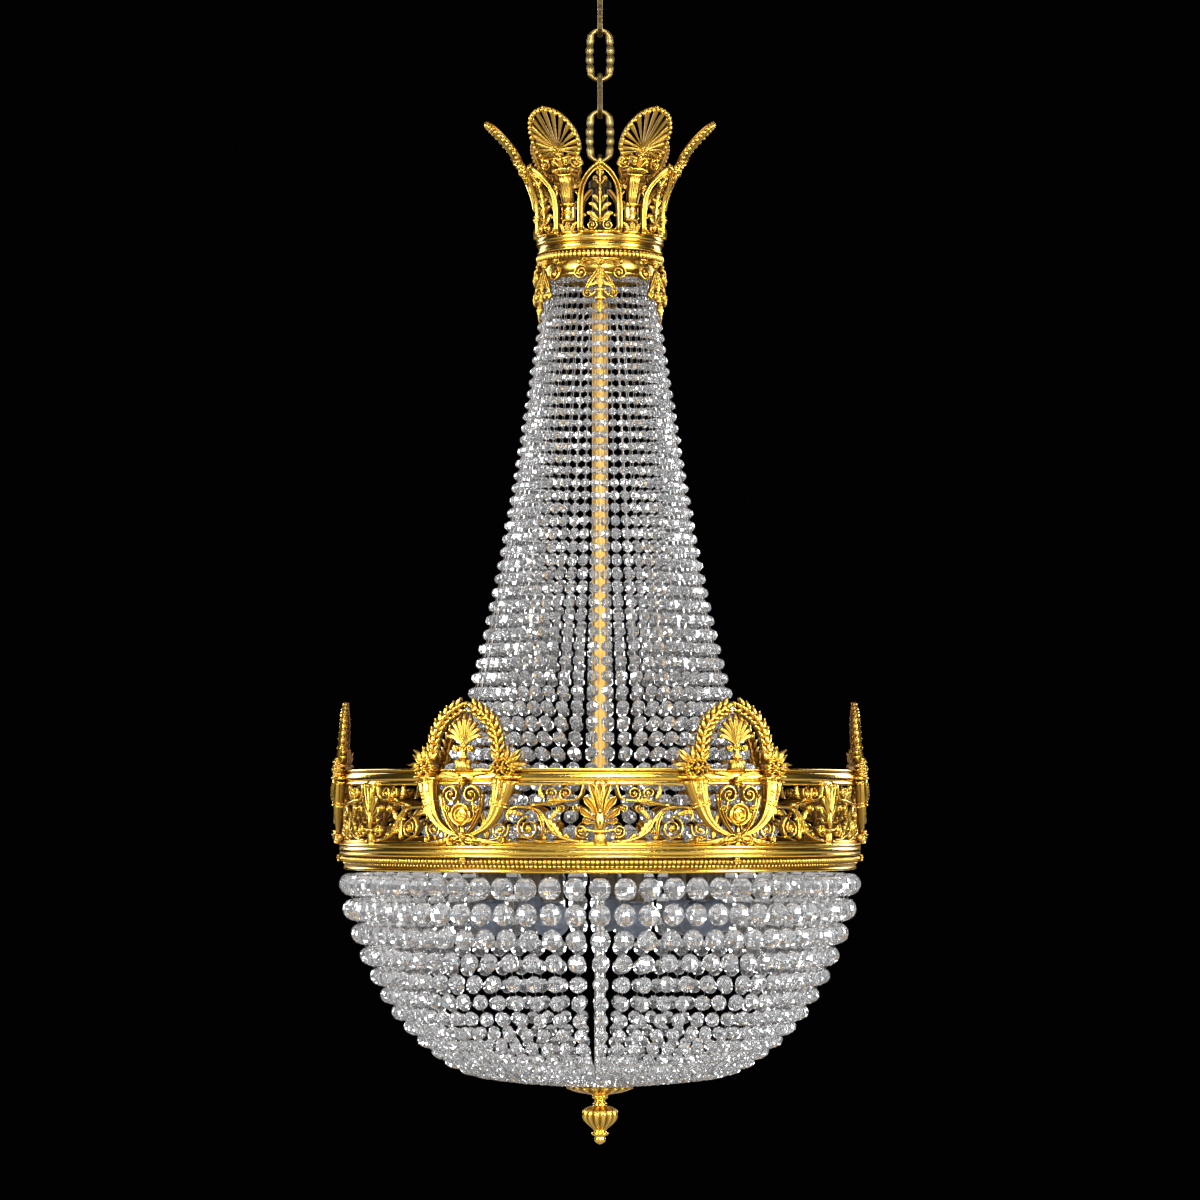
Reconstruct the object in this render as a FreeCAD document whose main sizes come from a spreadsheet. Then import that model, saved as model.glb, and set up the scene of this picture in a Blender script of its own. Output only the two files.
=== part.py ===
import FreeCAD, Part

# Crystal basket chandelier. From the top: a chain, a gilt crown of arches and palmettes, a tent of bead
# strands round the stem, a pierced ring with cartouches, and a bowl of bead strands under nine lamps.
# Millimetres. The origin is where the ceiling hook carries the first chain link, +Z is up and the
# front is -Y. A "drop" is a depth below the hook. Ornament is drawn in the front view, as u across
# and v up, and cut out of a curved wall.

import math
import os

import Sketcher
from FreeCAD import Placement, Rotation, Vector

# ---------------------------------------------------------------- driving dimensions

SIZES = (
    # chain
    ("link_gap", 0.8, "play between two links"),
    ("link_end", 5.5, "thickness of a link where it bears"),
    ("link_depth", 7.0, "depth of a link, flat to flat"),
    ("link_hole", 16.0, "width of the hole in a link"),
    ("link_side", 10.0, "width of a link's side"),
    ("link_chamfer", 2.0, "chamfer round a link's flats"),
    ("short_link_hole", 47.2, "length of the hole in the first and third links"),
    ("long_link_hole", 57.2, "length of the hole in the second and fourth links"),
    # stem
    ("eye_hole", 20.0, "height of the hole in the eye that hangs on the chain"),
    ("eye_width", 17.0, "width of the hole in the eye"),
    ("eye_socket", 18.0, "height of the socket under the eye"),
    ("eye_collar", 4.0, "how far the socket stands out from the stem"),
    ("stem_radius", 10.0, "outside radius of the upper stem"),
    ("lower_stem_radius", 7.0, "outside radius of the slim stem in the bowl"),
    ("stem_wall", 1.5, "wall of both stem tubes"),
    ("coupling_wall", 4.0, "wall of the coupling"),
    ("nut_height", 8.0, "height of a stem nut"),
    ("nut_radius", 17.0, "outside radius of a stem nut"),
    # crown
    ("crown_drop", 308.8, "hook to the top of the crown ring"),
    ("crown_radius", 76.0, "outside radius of the crown ring's top"),
    ("crown_wall", 13.0, "depth of the crown ring's section"),
    ("crown_height", 50.0, "height of the crown ring"),
    ("crown_step", 20.0, "height of the stepped mouldings above the bead row"),
    ("crown_bead", 10.0, "height of the crown's bead row"),
    ("crown_band", 10.0, "setback of the plain band below the beads"),
    ("moulding", 3.0, "setback between the crown ring's mouldings"),
    ("arch_height", 85.0, "crown ring to an arch's tip"),
    ("arch_width", 54.0, "width of an arch at its foot"),
    ("arch_wall", 3.0, "thickness of an arch"),
    ("palmette_height", 147.5, "crown ring to a palmette's tip"),
    ("palmette_width", 66.0, "width of a palmette"),
    ("palmette_lean", 62.0, "how far a palmette's tip leans out from the ring"),
    ("palmette_wall", 4.0, "thickness of a palmette"),
    ("fan_root", 101.0, "crown ring to the middle of a palmette's fan"),
    ("flare_height", 30.0, "height of the upright wall under the flare"),
    ("pendant_height", 70.0, "length of a pendant"),
    ("pendant_width", 62.0, "width of a pendant at its scrolls"),
    ("pendant_wall", 2.5, "thickness of a pendant"),
    ("pendant_lean", 9.0, "how far a pendant's point stands out"),
    ("pendant_inset", 4.0, "crown ring's outside to the back of a pendant"),
    # tent
    ("tent_radius", 64.0, "strand centres under the crown ring"),
    ("tent_waist_radius", 113.4, "strand centres at the waist"),
    ("tent_waist_drop", 670.0, "hook to the waist"),
    ("tent_hip_radius", 160.0, "strand centres at the hip"),
    ("tent_hip_drop", 886.0, "hook to the hip"),
    ("tent_ring_radius", 225.0, "strand centres at the tent ring"),
    ("tent_top_bead", 6.0, "bead under the crown ring"),
    ("tent_waist_bead", 10.5, "bead at the waist"),
    ("tent_hip_bead", 14.5, "bead at the hip"),
    ("tent_end_bead", 17.0, "bead at the tent ring"),
    ("tent_ring_width", 12.0, "width of the tent ring's section"),
    ("tent_ring_height", 6.0, "height of the tent ring"),
    # main ring
    ("ring_drop", 973.4, "hook to the top of the main ring"),
    ("ring_radius", 321.5, "outside radius of the frieze"),
    ("upper_rim_height", 15.0, "height of the upper rim"),
    ("upper_rim_depth", 14.0, "depth of the upper rim's section"),
    ("upper_groove", 2.0, "depth of the groove in the upper rim"),
    ("frieze_height", 76.0, "height of the pierced frieze"),
    ("frieze_wall", 4.0, "thickness of the frieze"),
    ("rail_height", 4.5, "height of the frieze's own rails"),
    ("lower_rim_height", 32.4, "height of the lower rim"),
    ("lower_rim_depth", 15.0, "depth of the lower rim's section"),
    ("rim_step", 2.5, "how far the lower rim's band stands out"),
    ("rim_band", 14.0, "height of the lower rim's band"),
    ("rim_bead", 9.0, "height of the lower rim's bead row"),
    ("lip_setback", 6.0, "setback of the lip under the beads"),
    ("seat_gap", 0.3, "clearance between two pieces that seat on each other"),
    # cartouches
    ("cartouche_height", 179.0, "frieze bottom to the top of the wreath"),
    ("wreath_spring", 105.0, "frieze bottom to the wreath's widest place"),
    ("cartouche_width", 92.0, "wreath's width over its middle line"),
    ("cartouche_wall", 6.0, "thickness of a cartouche"),
    ("wreath_width", 7.0, "width of the wreath's band"),
    ("wreath_lean", 8.0, "how far the wreath's top leans towards the stem"),
    ("rosette_radius", 5.0, "radius of a small rosette on the lower rim"),
    ("rosette_height", 3.0, "thickness of a small rosette"),
    # spiders and lamps
    ("spider_arm", 9.0, "width of a spider's arm"),
    ("spider_plate", 6.0, "thickness of a spider"),
    ("spider_hub", 24.0, "radius of a spider's hub"),
    ("crown_spider_drop", 330.0, "hook to the crown spider's top"),
    ("lamp_circle", 144.0, "radius of the circle of lamps"),
    ("lamp_ring_width", 16.0, "width of the lamp ring"),
    ("lamp_ring_height", 3.0, "thickness of the lamp ring"),
    ("holder_radius", 14.0, "radius of a lampholder"),
    ("holder_height", 34.0, "height of a lampholder"),
    ("bulb_radius", 22.5, "radius of a bulb"),
    ("bulb_neck", 9.0, "radius of a bulb's neck"),
    # bowl
    ("bowl_depth", 266.0, "lower rim to the strands' lowest point"),
    ("bowl_shoulder_radius", 277.0, "strand centres at the shoulder"),
    ("bowl_shoulder_depth", 132.0, "lower rim to the shoulder"),
    ("bowl_turn_radius", 238.0, "strand centres where the bowl turns in"),
    ("bowl_turn_depth", 193.0, "lower rim to the turn"),
    ("bowl_floor_radius", 177.5, "strand centres at the edge of the floor"),
    ("bowl_floor_depth", 245.0, "lower rim to the edge of the floor"),
    ("bowl_top_bead", 24.0, "bead under the lower rim"),
    ("bowl_shoulder_bead", 19.0, "bead at the shoulder"),
    ("bowl_floor_bead", 13.0, "bead at the edge of the floor"),
    ("bowl_end_bead", 6.0, "thickness of a strand at the bottom plate"),
    ("bowl_end_lap", 8.0, "how far a strand reaches over the bottom plate"),
    # bottom plate and finial
    ("plate_radius", 42.0, "radius of the bottom plate"),
    ("plate_height", 11.0, "height of the bottom plate"),
    ("finial_radius", 22.3, "largest radius of the finial's urn"),
    ("finial_height", 61.8, "height of the finial"),
)

ORNAMENTS = 6          # arches, palmettes, pendants, frieze panels and cartouches
TENT_STRANDS = 54
TENT_GROUPS = 3
BOWL_STRANDS = 66
BOWL_GROUPS = 6
LAMPS = 9
LAMP_OFFSET = -24.0    # degrees from the front to the first lamp
PANEL_ANGLE = 360.0 / ORNAMENTS

doc = FreeCAD.newDocument("chandelier")
sheet = doc.addObject("Spreadsheet::Sheet", "Sizes")
for row, (name, number, meaning) in enumerate(SIZES, start=1):
    sheet.set("A%d" % row, meaning)
    sheet.set("B%d" % row, str(number))
    sheet.setAlias("B%d" % row, name)
doc.recompute()

PARTS = []


def size(name):
    """The number in the sheet's cell of that name."""
    return float(sheet.get(name))


def total(text):
    """Value of a sum such as 'ring_radius - 0.5*rim_step + 2'."""
    value = 0.0
    sign = 1.0
    for word in text.split():
        if word in "+-":
            sign = 1.0 if word == "+" else -1.0
            continue
        product = sign
        for factor in word.split("*"):
            product *= float(factor) if factor[0].isdigit() else size(factor)
        value += product
        sign = 1.0
    return value


def formula(text):
    """The same sum as an expression on the sheet's cells."""
    words = []
    for word in text.split():
        factors = word.split("*")
        words.append("*".join(f if f[0].isdigit() or f in "+-" else "Sizes." + f for f in factors))
    return " ".join(words)


def bind(thing, path, text):
    """Tie one property of an object to a sum of named sizes."""
    thing.setExpression(path, formula(text))


# ---------------------------------------------------------------- sketched bodies


def origin_plane(body, role):
    """One of a body's own origin planes."""
    return [f for f in body.Origin.OriginFeatures if f.Role == role][0]


def add_loop(sketch, corners):
    """Close a loop of lines and arcs. A corner is (x, y, bulge): two sums and, for the edge that
    leaves it, the tangent of a quarter of its turn, 0 for a line."""
    first = sketch.GeometryCount
    spots = [Vector(total(x), total(y), 0) for x, y, _ in corners]
    ends = []
    for index, (_, _, bulge) in enumerate(corners):
        start = spots[index]
        end = spots[(index + 1) % len(corners)]
        if bulge == 0:
            sketch.addGeometry(Part.LineSegment(start, end))
            ends.append((1, 2))
            continue
        along = end - start
        side = Vector(along.y, -along.x, 0)
        through = start + along * 0.5 + side * (0.5 * bulge)
        arc = Part.Arc(start, through, end)
        sketch.addGeometry(arc)
        ends.append((1, 2) if bulge > 0 else (2, 1))
    for index, (x, y, _) in enumerate(corners):
        edge = first + index
        after = (index + 1) % len(corners)
        sketch.addConstraint(
            Sketcher.Constraint("Coincident", edge, ends[index][1], first + after, ends[after][0]))
        for kind, text in (("DistanceX", x), ("DistanceY", y)):
            number = sketch.addConstraint(
                Sketcher.Constraint(kind, -1, 1, edge, ends[index][0], total(text)))
            sketch.setExpression("Constraints[%d]" % number, formula(text))


def new_body(label, drop):
    """A body whose own zero height lies at a drop below the hook."""
    body = doc.addObject("PartDesign::Body", label)
    body.Label = label
    body.setExpression("Placement.Base.z", "-(%s)" % formula(drop))
    PARTS.append(body)
    return body


def new_sketch(body, role, loops):
    """A sketch on one of the body's planes, made of closed loops."""
    sketch = body.newObject("Sketcher::SketchObject", body.Label + "_outline")
    sketch.AttachmentSupport = (origin_plane(body, role), [""])
    sketch.MapMode = "FlatFace"
    for loop in loops:
        add_loop(sketch, loop)
    return sketch


def turned(label, drop, *loops):
    """A body of revolution about the stem's axis: loops of (radius, height, bulge)."""
    body = new_body(label, drop)
    sketch = new_sketch(body, "XZ_Plane", loops)
    feature = body.newObject("PartDesign::Revolution", label + "_turned")
    feature.Profile = sketch
    feature.ReferenceAxis = (sketch, ["V_Axis"])
    feature.Angle = 360
    return body


def padded(label, drop, role, depth, *loops):
    """A body cut from flat stock: loops in an upright plane, thickened to both sides."""
    body = new_body(label, drop)
    sketch = new_sketch(body, role, loops)
    feature = body.newObject("PartDesign::Pad", label + "_pad")
    feature.Profile = sketch
    feature.SideType = "Symmetric"
    bind(feature, "Length", depth)
    doc.recompute()
    return body


def chamfer_flats(body, normal, amount):
    """Chamfer every edge of the two flat faces whose normal lies along one axis."""
    base = body.Tip
    faces = []
    for number, face in enumerate(base.Shape.Faces, start=1):
        if isinstance(face.Surface, Part.Plane) and abs(face.normalAt(0, 0).dot(normal)) > 0.99:
            faces.append("Face%d" % number)
    chamfer = body.newObject("PartDesign::Chamfer", body.Label + "_chamfer")
    chamfer.Base = (base, faces)
    bind(chamfer, "Size", amount)
    doc.recompute()


def round_pattern(body, feature, count):
    """Repeat a feature round the stem's axis."""
    pattern = body.newObject("PartDesign::PolarPattern", feature.Label + "_round")
    pattern.Originals = [feature]
    pattern.Axis = ([f for f in body.Origin.OriginFeatures if f.Role == "Z_Axis"][0], [""])
    pattern.Angle = 360
    pattern.Occurrences = count
    body.Tip = pattern
    doc.recompute()


# ---------------------------------------------------------------- pieces worked out as shapes


def solid_piece(label, drop, shape, turn=0.0):
    """A piece whose shape is worked out, set at a drop below the hook and turned about the stem."""
    piece = doc.addObject("Part::Feature", label)
    piece.Label = label
    piece.Shape = shape
    piece.Placement = Placement(Vector(0, 0, -total(drop)), Rotation(Vector(0, 0, 1), turn))
    PARTS.append(piece)
    return piece


def front(u, v):
    """A point of the front view."""
    return Vector(u, 0, v)


def disc(u, v, radius):
    """A round face."""
    circle = Part.makeCircle(radius, front(u, v), Vector(0, 1, 0))
    return Part.Face(Part.Wire(circle))


def loop(radius, hole, u, v):
    """A flat ring."""
    return disc(u, v, radius).cut(disc(u, v, hole))


def plate(*corners):
    """A straight-sided face."""
    spots = [front(u, v) for u, v in corners]
    return Part.Face(Part.makePolygon(spots + spots[:1]))


def leaf(base, tip, width, curl=0.0):
    """A pointed leaf of two arcs; curl bends it to its left as a share of its length."""
    start = front(*base)
    end = front(*tip)
    along = end - start
    left = Vector(-along.z, 0, along.x)
    middle = start + along * 0.5 + left * curl
    half = left * (0.5 * width / along.Length)
    edges = [Part.Arc(start, middle + half, end).toShape(), Part.Arc(end, middle - half, start).toShape()]
    return Part.Face(Part.Wire(edges))


def scroll(start, heading, bends, width):
    """A band along tangent arcs: each bend is (radius, degrees), left turns positive."""
    spot = front(*start)
    angle = math.radians(heading)
    left_edges = []
    right_edges = []
    for radius, degrees in bends:
        side = 1.0 if degrees > 0 else -1.0
        centre = spot + Vector(-math.sin(angle), 0, math.cos(angle)) * (side * radius)
        turn = math.radians(degrees)
        for edges, reach in ((left_edges, radius - side * 0.5 * width), (right_edges, radius + side * 0.5 * width)):
            through = []
            for share in (0.0, 0.5, 1.0):
                way = angle + share * turn
                through.append(centre + Vector(math.sin(way), 0, -math.cos(way)) * (side * reach))
            edges.append(Part.Arc(*through))
        angle += turn
        spot = centre + Vector(math.sin(angle), 0, -math.cos(angle)) * (side * radius)
    ends = [left_edges[-1].EndPoint, right_edges[-1].EndPoint]
    starts = [left_edges[0].StartPoint, right_edges[0].StartPoint]
    cap = spot + Vector(math.cos(angle), 0, math.sin(angle)) * (0.5 * width)
    wire = [edge.toShape() for edge in left_edges]
    wire.append(Part.Arc(ends[0], cap, ends[1]).toShape())
    wire += [edge.toShape() for edge in reversed(right_edges)]
    wire.append(Part.LineSegment(starts[1], starts[0]).toShape())
    return Part.Face(Part.Wire(Part.__sortEdges__(wire)))


def fan(root, ribs, half_turn, height, half_width, rib):
    """The leaves of a palmette, spread to each side of the vertical inside an oval."""
    faces = []
    for number in range(ribs):
        turn = math.radians(half_turn * (2.0 * number / (ribs - 1) - 1.0))
        tip = (root[0] + half_width * math.sin(turn), root[1] + height * math.cos(turn))
        faces.append(leaf(root, tip, rib))
    return faces


def both_sides(faces):
    """The faces and their mirror images across the middle."""
    return faces + [face.mirror(Vector(0, 0, 0), Vector(1, 0, 0)) for face in faces]


def cut_out(faces, wall, reach):
    """Cut an outline of flat faces out of a curved wall that stands in front of the stem."""
    bits = [face.extrude(Vector(0, -reach, 0)).common(wall) for face in faces]
    shape = bits[0].multiFuse(bits[1:]).removeSplitter()
    if len(shape.Solids) != 1:
        raise RuntimeError("an ornament falls into %d pieces" % len(shape.Solids))
    return shape.Solids[0]


def front_sector(section, half_angle):
    """Turn a section in the X-Z plane into a wall that reaches half_angle to each side of the front."""
    stood = section.copy()
    stood.rotate(Vector(0, 0, 0), Vector(0, 0, 1), -90 - half_angle)
    return stood.revolve(Vector(0, 0, 0), Vector(0, 0, 1), 2 * half_angle)


def straight_section(corners):
    """A section with straight sides, as (radius, height) corners."""
    spots = [Vector(radius, 0, height) for radius, height in corners]
    return Part.Face(Part.makePolygon(spots + spots[:1]))


def flared_section(radius, wall, low, flare, high, lean):
    """A section that rises upright from low to flare and then bends out on an arc to high."""
    rise = high - flare
    bend = (lean * lean + rise * rise) / (2 * lean)
    half_turn = 0.5 * math.asin(rise / bend)

    def side(inset):
        start = Vector(radius - inset, 0, flare)
        middle = Vector(radius - inset + bend * (1 - math.cos(half_turn)), 0, flare + bend * math.sin(half_turn))
        return start, Part.Arc(start, middle, Vector(radius - inset + lean, 0, high))

    outer_start, outer = side(0)
    inner_start, inner = side(wall)
    outer_foot = Vector(radius, 0, low)
    inner_foot = Vector(radius - wall, 0, low)
    edges = [
        Part.LineSegment(outer_foot, outer_start).toShape(),
        outer.toShape(),
        Part.LineSegment(outer.EndPoint, inner.EndPoint).toShape(),
        inner.toShape(),
        Part.LineSegment(inner_start, inner_foot).toShape(),
        Part.LineSegment(inner_foot, outer_foot).toShape(),
    ]
    return Part.Face(Part.Wire(Part.__sortEdges__(edges)))


def faceted_bar(rings):
    """A solid with flat facets through four-cornered rings."""
    faces = [Part.Face(Part.makePolygon(ring + ring[:1])) for ring in (rings[0], rings[-1])]
    for low, high in zip(rings, rings[1:]):
        for corner in range(4):
            after = (corner + 1) % 4
            quad = [low[corner], low[after], high[after], high[corner]]
            normal = (quad[1] - quad[0]).cross(quad[2] - quad[0])
            if abs(normal.dot(quad[3] - quad[0])) < 1e-6 * normal.Length:
                faces.append(Part.Face(Part.makePolygon(quad + quad[:1])))
                continue
            for triangle in (quad[:3], [quad[0], quad[2], quad[3]]):
                faces.append(Part.Face(Part.makePolygon(triangle + triangle[:1])))
    solid = Part.Solid(Part.makeShell(faces))
    solid.fix(1e-6, 1e-6, 1e-6)
    if solid.Volume < 0:
        solid.reverse()
    return solid


def strand(stations):
    """A strand's outline through (radius, height, width, thickness, tilt): tilt is the angle of the
    thickness above the horizontal."""
    rings = []
    for radius, height, width, thickness, tilt in stations:
        out = Vector(math.cos(tilt), 0, math.sin(tilt)) * (0.5 * thickness)
        across = Vector(0, 0.5 * width, 0)
        middle = Vector(radius, 0, height)
        rings.append([middle + out + across, middle + out - across,
                      middle - out - across, middle - out + across])
    return faceted_bar(rings)


def strand_group(label, drop, first, group, spacing, offset):
    """Copies of one strand, evenly spaced round the stem, as separate solids in one piece."""
    solids = []
    for index in range(group):
        copy = first.copy()
        copy.rotate(Vector(0, 0, 0), Vector(0, 0, 1), offset + index * spacing)
        solids.append(copy)
    solid_piece(label, drop, Part.makeCompound(solids))


# ---------------------------------------------------------------- chain and stem

HALF_LINK = "0.5*link_hole + link_side"
CROWN_BOTTOM = "crown_drop + crown_height"
FRIEZE_BOTTOM = "ring_drop + upper_rim_height + frieze_height"
RIM_BOTTOM = FRIEZE_BOTTOM + " + lower_rim_height"
EYE_DROP = "2*short_link_hole + 2*long_link_hole - 4*link_gap"
STEM_TOP = EYE_DROP + " + eye_hole + eye_socket"
PLATE_DROP = RIM_BOTTOM + " + bowl_depth + 0.5*bowl_end_bead + seat_gap"


def negative(text):
    """The sum with every sign turned."""
    swapped = {"+": "-", "-": "+"}
    return "0 - " + " ".join(swapped.get(word, word) for word in text.split())


def oval(width, top, bottom):
    """An upright oval with round ends, between two heights."""
    inset_top = "%s %s" % (top, negative(width)[2:])
    inset_bottom = "%s + %s" % (bottom, width)
    return [(width, inset_bottom, 0), (width, inset_top, 1.0),
            (negative(width), inset_top, 0), (negative(width), inset_bottom, 1.0)]


def chain_link(label, drop, hole, role, normal):
    """One link: its hole starts at the drop, where it hangs on the link above."""
    outer = oval(HALF_LINK, "link_end", negative(hole + " + link_end"))
    inner = oval("0.5*link_hole", "0", negative(hole))
    body = padded(label, drop, role, "link_depth", outer, inner)
    chamfer_flats(body, normal, "link_chamfer")


chain_link("chain_link_1", "0", "short_link_hole", "YZ_Plane", Vector(1, 0, 0))
chain_link("chain_link_2", "short_link_hole - link_gap", "long_link_hole", "XZ_Plane", Vector(0, 1, 0))
chain_link("chain_link_3", "short_link_hole + long_link_hole - 2*link_gap", "short_link_hole",
           "YZ_Plane", Vector(1, 0, 0))
chain_link("chain_link_4", "2*short_link_hole + long_link_hole - 3*link_gap", "long_link_hole",
           "XZ_Plane", Vector(0, 1, 0))

eye = padded("stem_eye", EYE_DROP, "YZ_Plane", "link_depth",
             oval("0.5*eye_width + link_end", "link_end", negative("eye_hole + link_end")),
             oval("0.5*eye_width", "0", negative("eye_hole")))
chamfer_flats(eye, Vector(1, 0, 0), "link_chamfer")
socket = new_sketch(eye, "XZ_Plane", [[
    ("0", negative("eye_hole + eye_socket"), 0),
    ("stem_radius + eye_collar", negative("eye_hole + eye_socket"), 0),
    ("stem_radius + eye_collar", negative("eye_hole + 0.6*eye_socket"), 0.2),
    ("0.5*link_depth", negative("eye_hole + 0.2*eye_socket"), 0),
    ("0", negative("eye_hole + 0.2*eye_socket"), 0)]])
socket_turned = eye.newObject("PartDesign::Revolution", "stem_eye_socket")
socket_turned.Profile = socket
socket_turned.ReferenceAxis = (socket, ["V_Axis"])
socket_turned.Angle = 360
doc.recompute()


def tube_loop(radius, wall, top, bottom):
    """A tube's section between two heights."""
    return [(radius + " - " + wall, bottom, 0), (radius, bottom, 0), (radius, top, 0),
            (radius + " - " + wall, top, 0)]


def collar_loop(bore, radius, top, bottom):
    """The section of a collar round a tube."""
    return [(bore + " + seat_gap", bottom, 0), (radius, bottom, 0), (radius, top, 0),
            (bore + " + seat_gap", top, 0)]


turned("stem_tube", STEM_TOP,
       tube_loop("stem_radius", "stem_wall", "0", negative(RIM_BOTTOM + " + nut_height") + " + " + STEM_TOP))
turned("stem_nuts", "0",
       collar_loop("stem_radius", "nut_radius", negative("crown_spider_drop - nut_height"),
                   negative("crown_spider_drop")),
       collar_loop("stem_radius", "nut_radius", negative("crown_spider_drop + spider_plate"),
                   negative("crown_spider_drop + spider_plate + nut_height")),
       collar_loop("stem_radius", "nut_radius", negative(RIM_BOTTOM + " - spider_plate - nut_height"),
                   negative(RIM_BOTTOM + " - spider_plate")))
turned("stem_coupling", RIM_BOTTOM,
       [("lower_stem_radius + seat_gap", negative("3*nut_height"), 0),
        ("lower_stem_radius + coupling_wall", negative("3*nut_height"), 0),
        ("lower_stem_radius + coupling_wall", negative("1.5*nut_height"), 0),
        ("stem_radius + coupling_wall", negative("1.2*nut_height"), 0),
        ("stem_radius + coupling_wall", "0", 0),
        ("stem_radius + seat_gap", "0", 0),
        ("stem_radius + seat_gap", negative("nut_height + seat_gap"), 0),
        ("lower_stem_radius + seat_gap", negative("nut_height + seat_gap"), 0)])
turned("lower_stem", RIM_BOTTOM + " + nut_height + 2*seat_gap",
       tube_loop("lower_stem_radius", "stem_wall", "0",
                 negative(PLATE_DROP) + " + " + RIM_BOTTOM + " + nut_height + 2*seat_gap"))


def spider(label, drop, bore, reach):
    """A hub with six flat arms that reach to a ring's inner wall."""
    body = new_body(label, drop)
    hub = new_sketch(body, "XZ_Plane", [[
        (bore + " + seat_gap", negative("spider_plate"), 0), ("spider_hub", negative("spider_plate"), 0),
        ("spider_hub", "0", 0), (bore + " + seat_gap", "0", 0)]])
    feature = body.newObject("PartDesign::Revolution", label + "_hub")
    feature.Profile = hub
    feature.ReferenceAxis = (hub, ["V_Axis"])
    feature.Angle = 360
    doc.recompute()
    arm_sketch = new_sketch(body, "XY_Plane", [[
        ("0.5*spider_hub + 0.5*stem_radius", "0 - 0.5*spider_arm", 0), (reach, "0 - 0.5*spider_arm", 0),
        (reach, "0.5*spider_arm", 0), ("0.5*spider_hub + 0.5*stem_radius", "0.5*spider_arm", 0)]])
    arm = body.newObject("PartDesign::Pad", label + "_arm")
    arm.Profile = arm_sketch
    arm.Reversed = True
    bind(arm, "Length", "spider_plate")
    doc.recompute()
    round_pattern(body, arm, ORNAMENTS)
    return body


spider("crown_spider", "crown_spider_drop", "stem_radius", "crown_radius - crown_wall - seat_gap")
spider("ring_spider", RIM_BOTTOM + " - spider_plate", "stem_radius",
       "ring_radius - lower_rim_depth - seat_gap")

# ---------------------------------------------------------------- crown

turned("crown_ring", "crown_drop", [
    ("crown_radius - crown_wall", negative("crown_height"), 0),
    ("crown_radius - crown_band", negative("crown_height"), 0),
    ("crown_radius - crown_band", negative("crown_step + crown_bead"), 0),
    ("crown_radius", negative("crown_step + crown_bead"), 0.8),
    ("crown_radius", negative("crown_step"), 0),
    ("crown_radius - moulding", negative("crown_step"), 0),
    ("crown_radius - moulding", negative("0.5*crown_step"), 0),
    ("crown_radius", negative("0.5*crown_step"), 0),
    ("crown_radius", "0", 0),
    ("crown_radius - crown_wall", "0", 0)])


def arch_shape():
    """A pointed arch with a trefoil, a fan of leaves and two scrolls inside it."""
    height = size("arch_height")
    half = 0.5 * size("arch_width")
    band = 0.16 * half
    lift = 0.42 * height
    outer = leaf((0, -height), (0, height), 2 * half)
    inner = leaf((0, -height + 2 * band), (0, height - 2 * band), 2 * (half - band))
    frame = outer.cut(inner).common(plate((-half, 0), (half, 0), (half, height), (-half, height)))
    faces = [frame, plate((-half, 0), (half, 0), (half, band), (-half, band))]
    faces.append(leaf((0, 0), (0, height - band), 0.3 * half))
    faces.append(disc(0, 0.74 * height, 0.16 * half))
    faces += both_sides([
        leaf((0, 0.1 * height), (0.5 * half, lift), 0.22 * half),
        leaf((0, 0.1 * height), (0.62 * half, 0.28 * height), 0.2 * half),
        loop(0.3 * half, 0.16 * half, 0.55 * half, 0.14 * height),
        loop(0.2 * half, 0.1 * half, 0.18 * half, 0.66 * height),
    ])
    section = flared_section(size("crown_radius"), size("arch_wall"), 0, size("flare_height"), height,
                             size("palmette_lean") * 0.35)
    return cut_out(faces, front_sector(section, 0.48 * PANEL_ANGLE), 2 * size("crown_radius"))


def palmette_shape():
    """A fluted pilaster that opens into a leaning fan of ribs with two curled volutes."""
    height = size("palmette_height")
    half = 0.5 * size("palmette_width")
    root = size("fan_root")
    neck = 0.7 * root
    foot = 0.31 * half
    faces = [plate((-0.24 * half, 0), (0.24 * half, 0), (0.34 * half, neck), (-0.34 * half, neck)),
             plate((-0.28 * half, 0.16 * root), (0.28 * half, 0.16 * root), (0.28 * half, 0.35 * root),
                   (-0.28 * half, 0.35 * root)),
             plate((-0.3 * half, neck - 4), (0.3 * half, neck - 4), (0.15 * half, root + 4), (-0.15 * half, root + 4)),
             disc(0, root - 1, 0.28 * half)]
    faces += fan((0, root), 11, 96, height - root, half, 6.0)
    faces += both_sides([
        loop(0.22 * half, 0.1 * half, 0.5 * half, root - 0.42 * half),
        leaf((0, root - 3), (0.5 * half, root - 0.3 * half), 0.2 * half),
        leaf((0, neck - 6), (0.62 * half, neck + 0.2 * half), 0.25 * half, 0.12),
        plate((0, 0), (foot, 0), (foot, 0.13 * root), (0, 0.13 * root)),
    ])
    radius = size("crown_radius")
    section = flared_section(radius, size("palmette_wall"), 0, size("flare_height"), height,
                             size("palmette_lean"))
    return cut_out(faces, front_sector(section, 0.49 * PANEL_ANGLE), 3 * radius)


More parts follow.
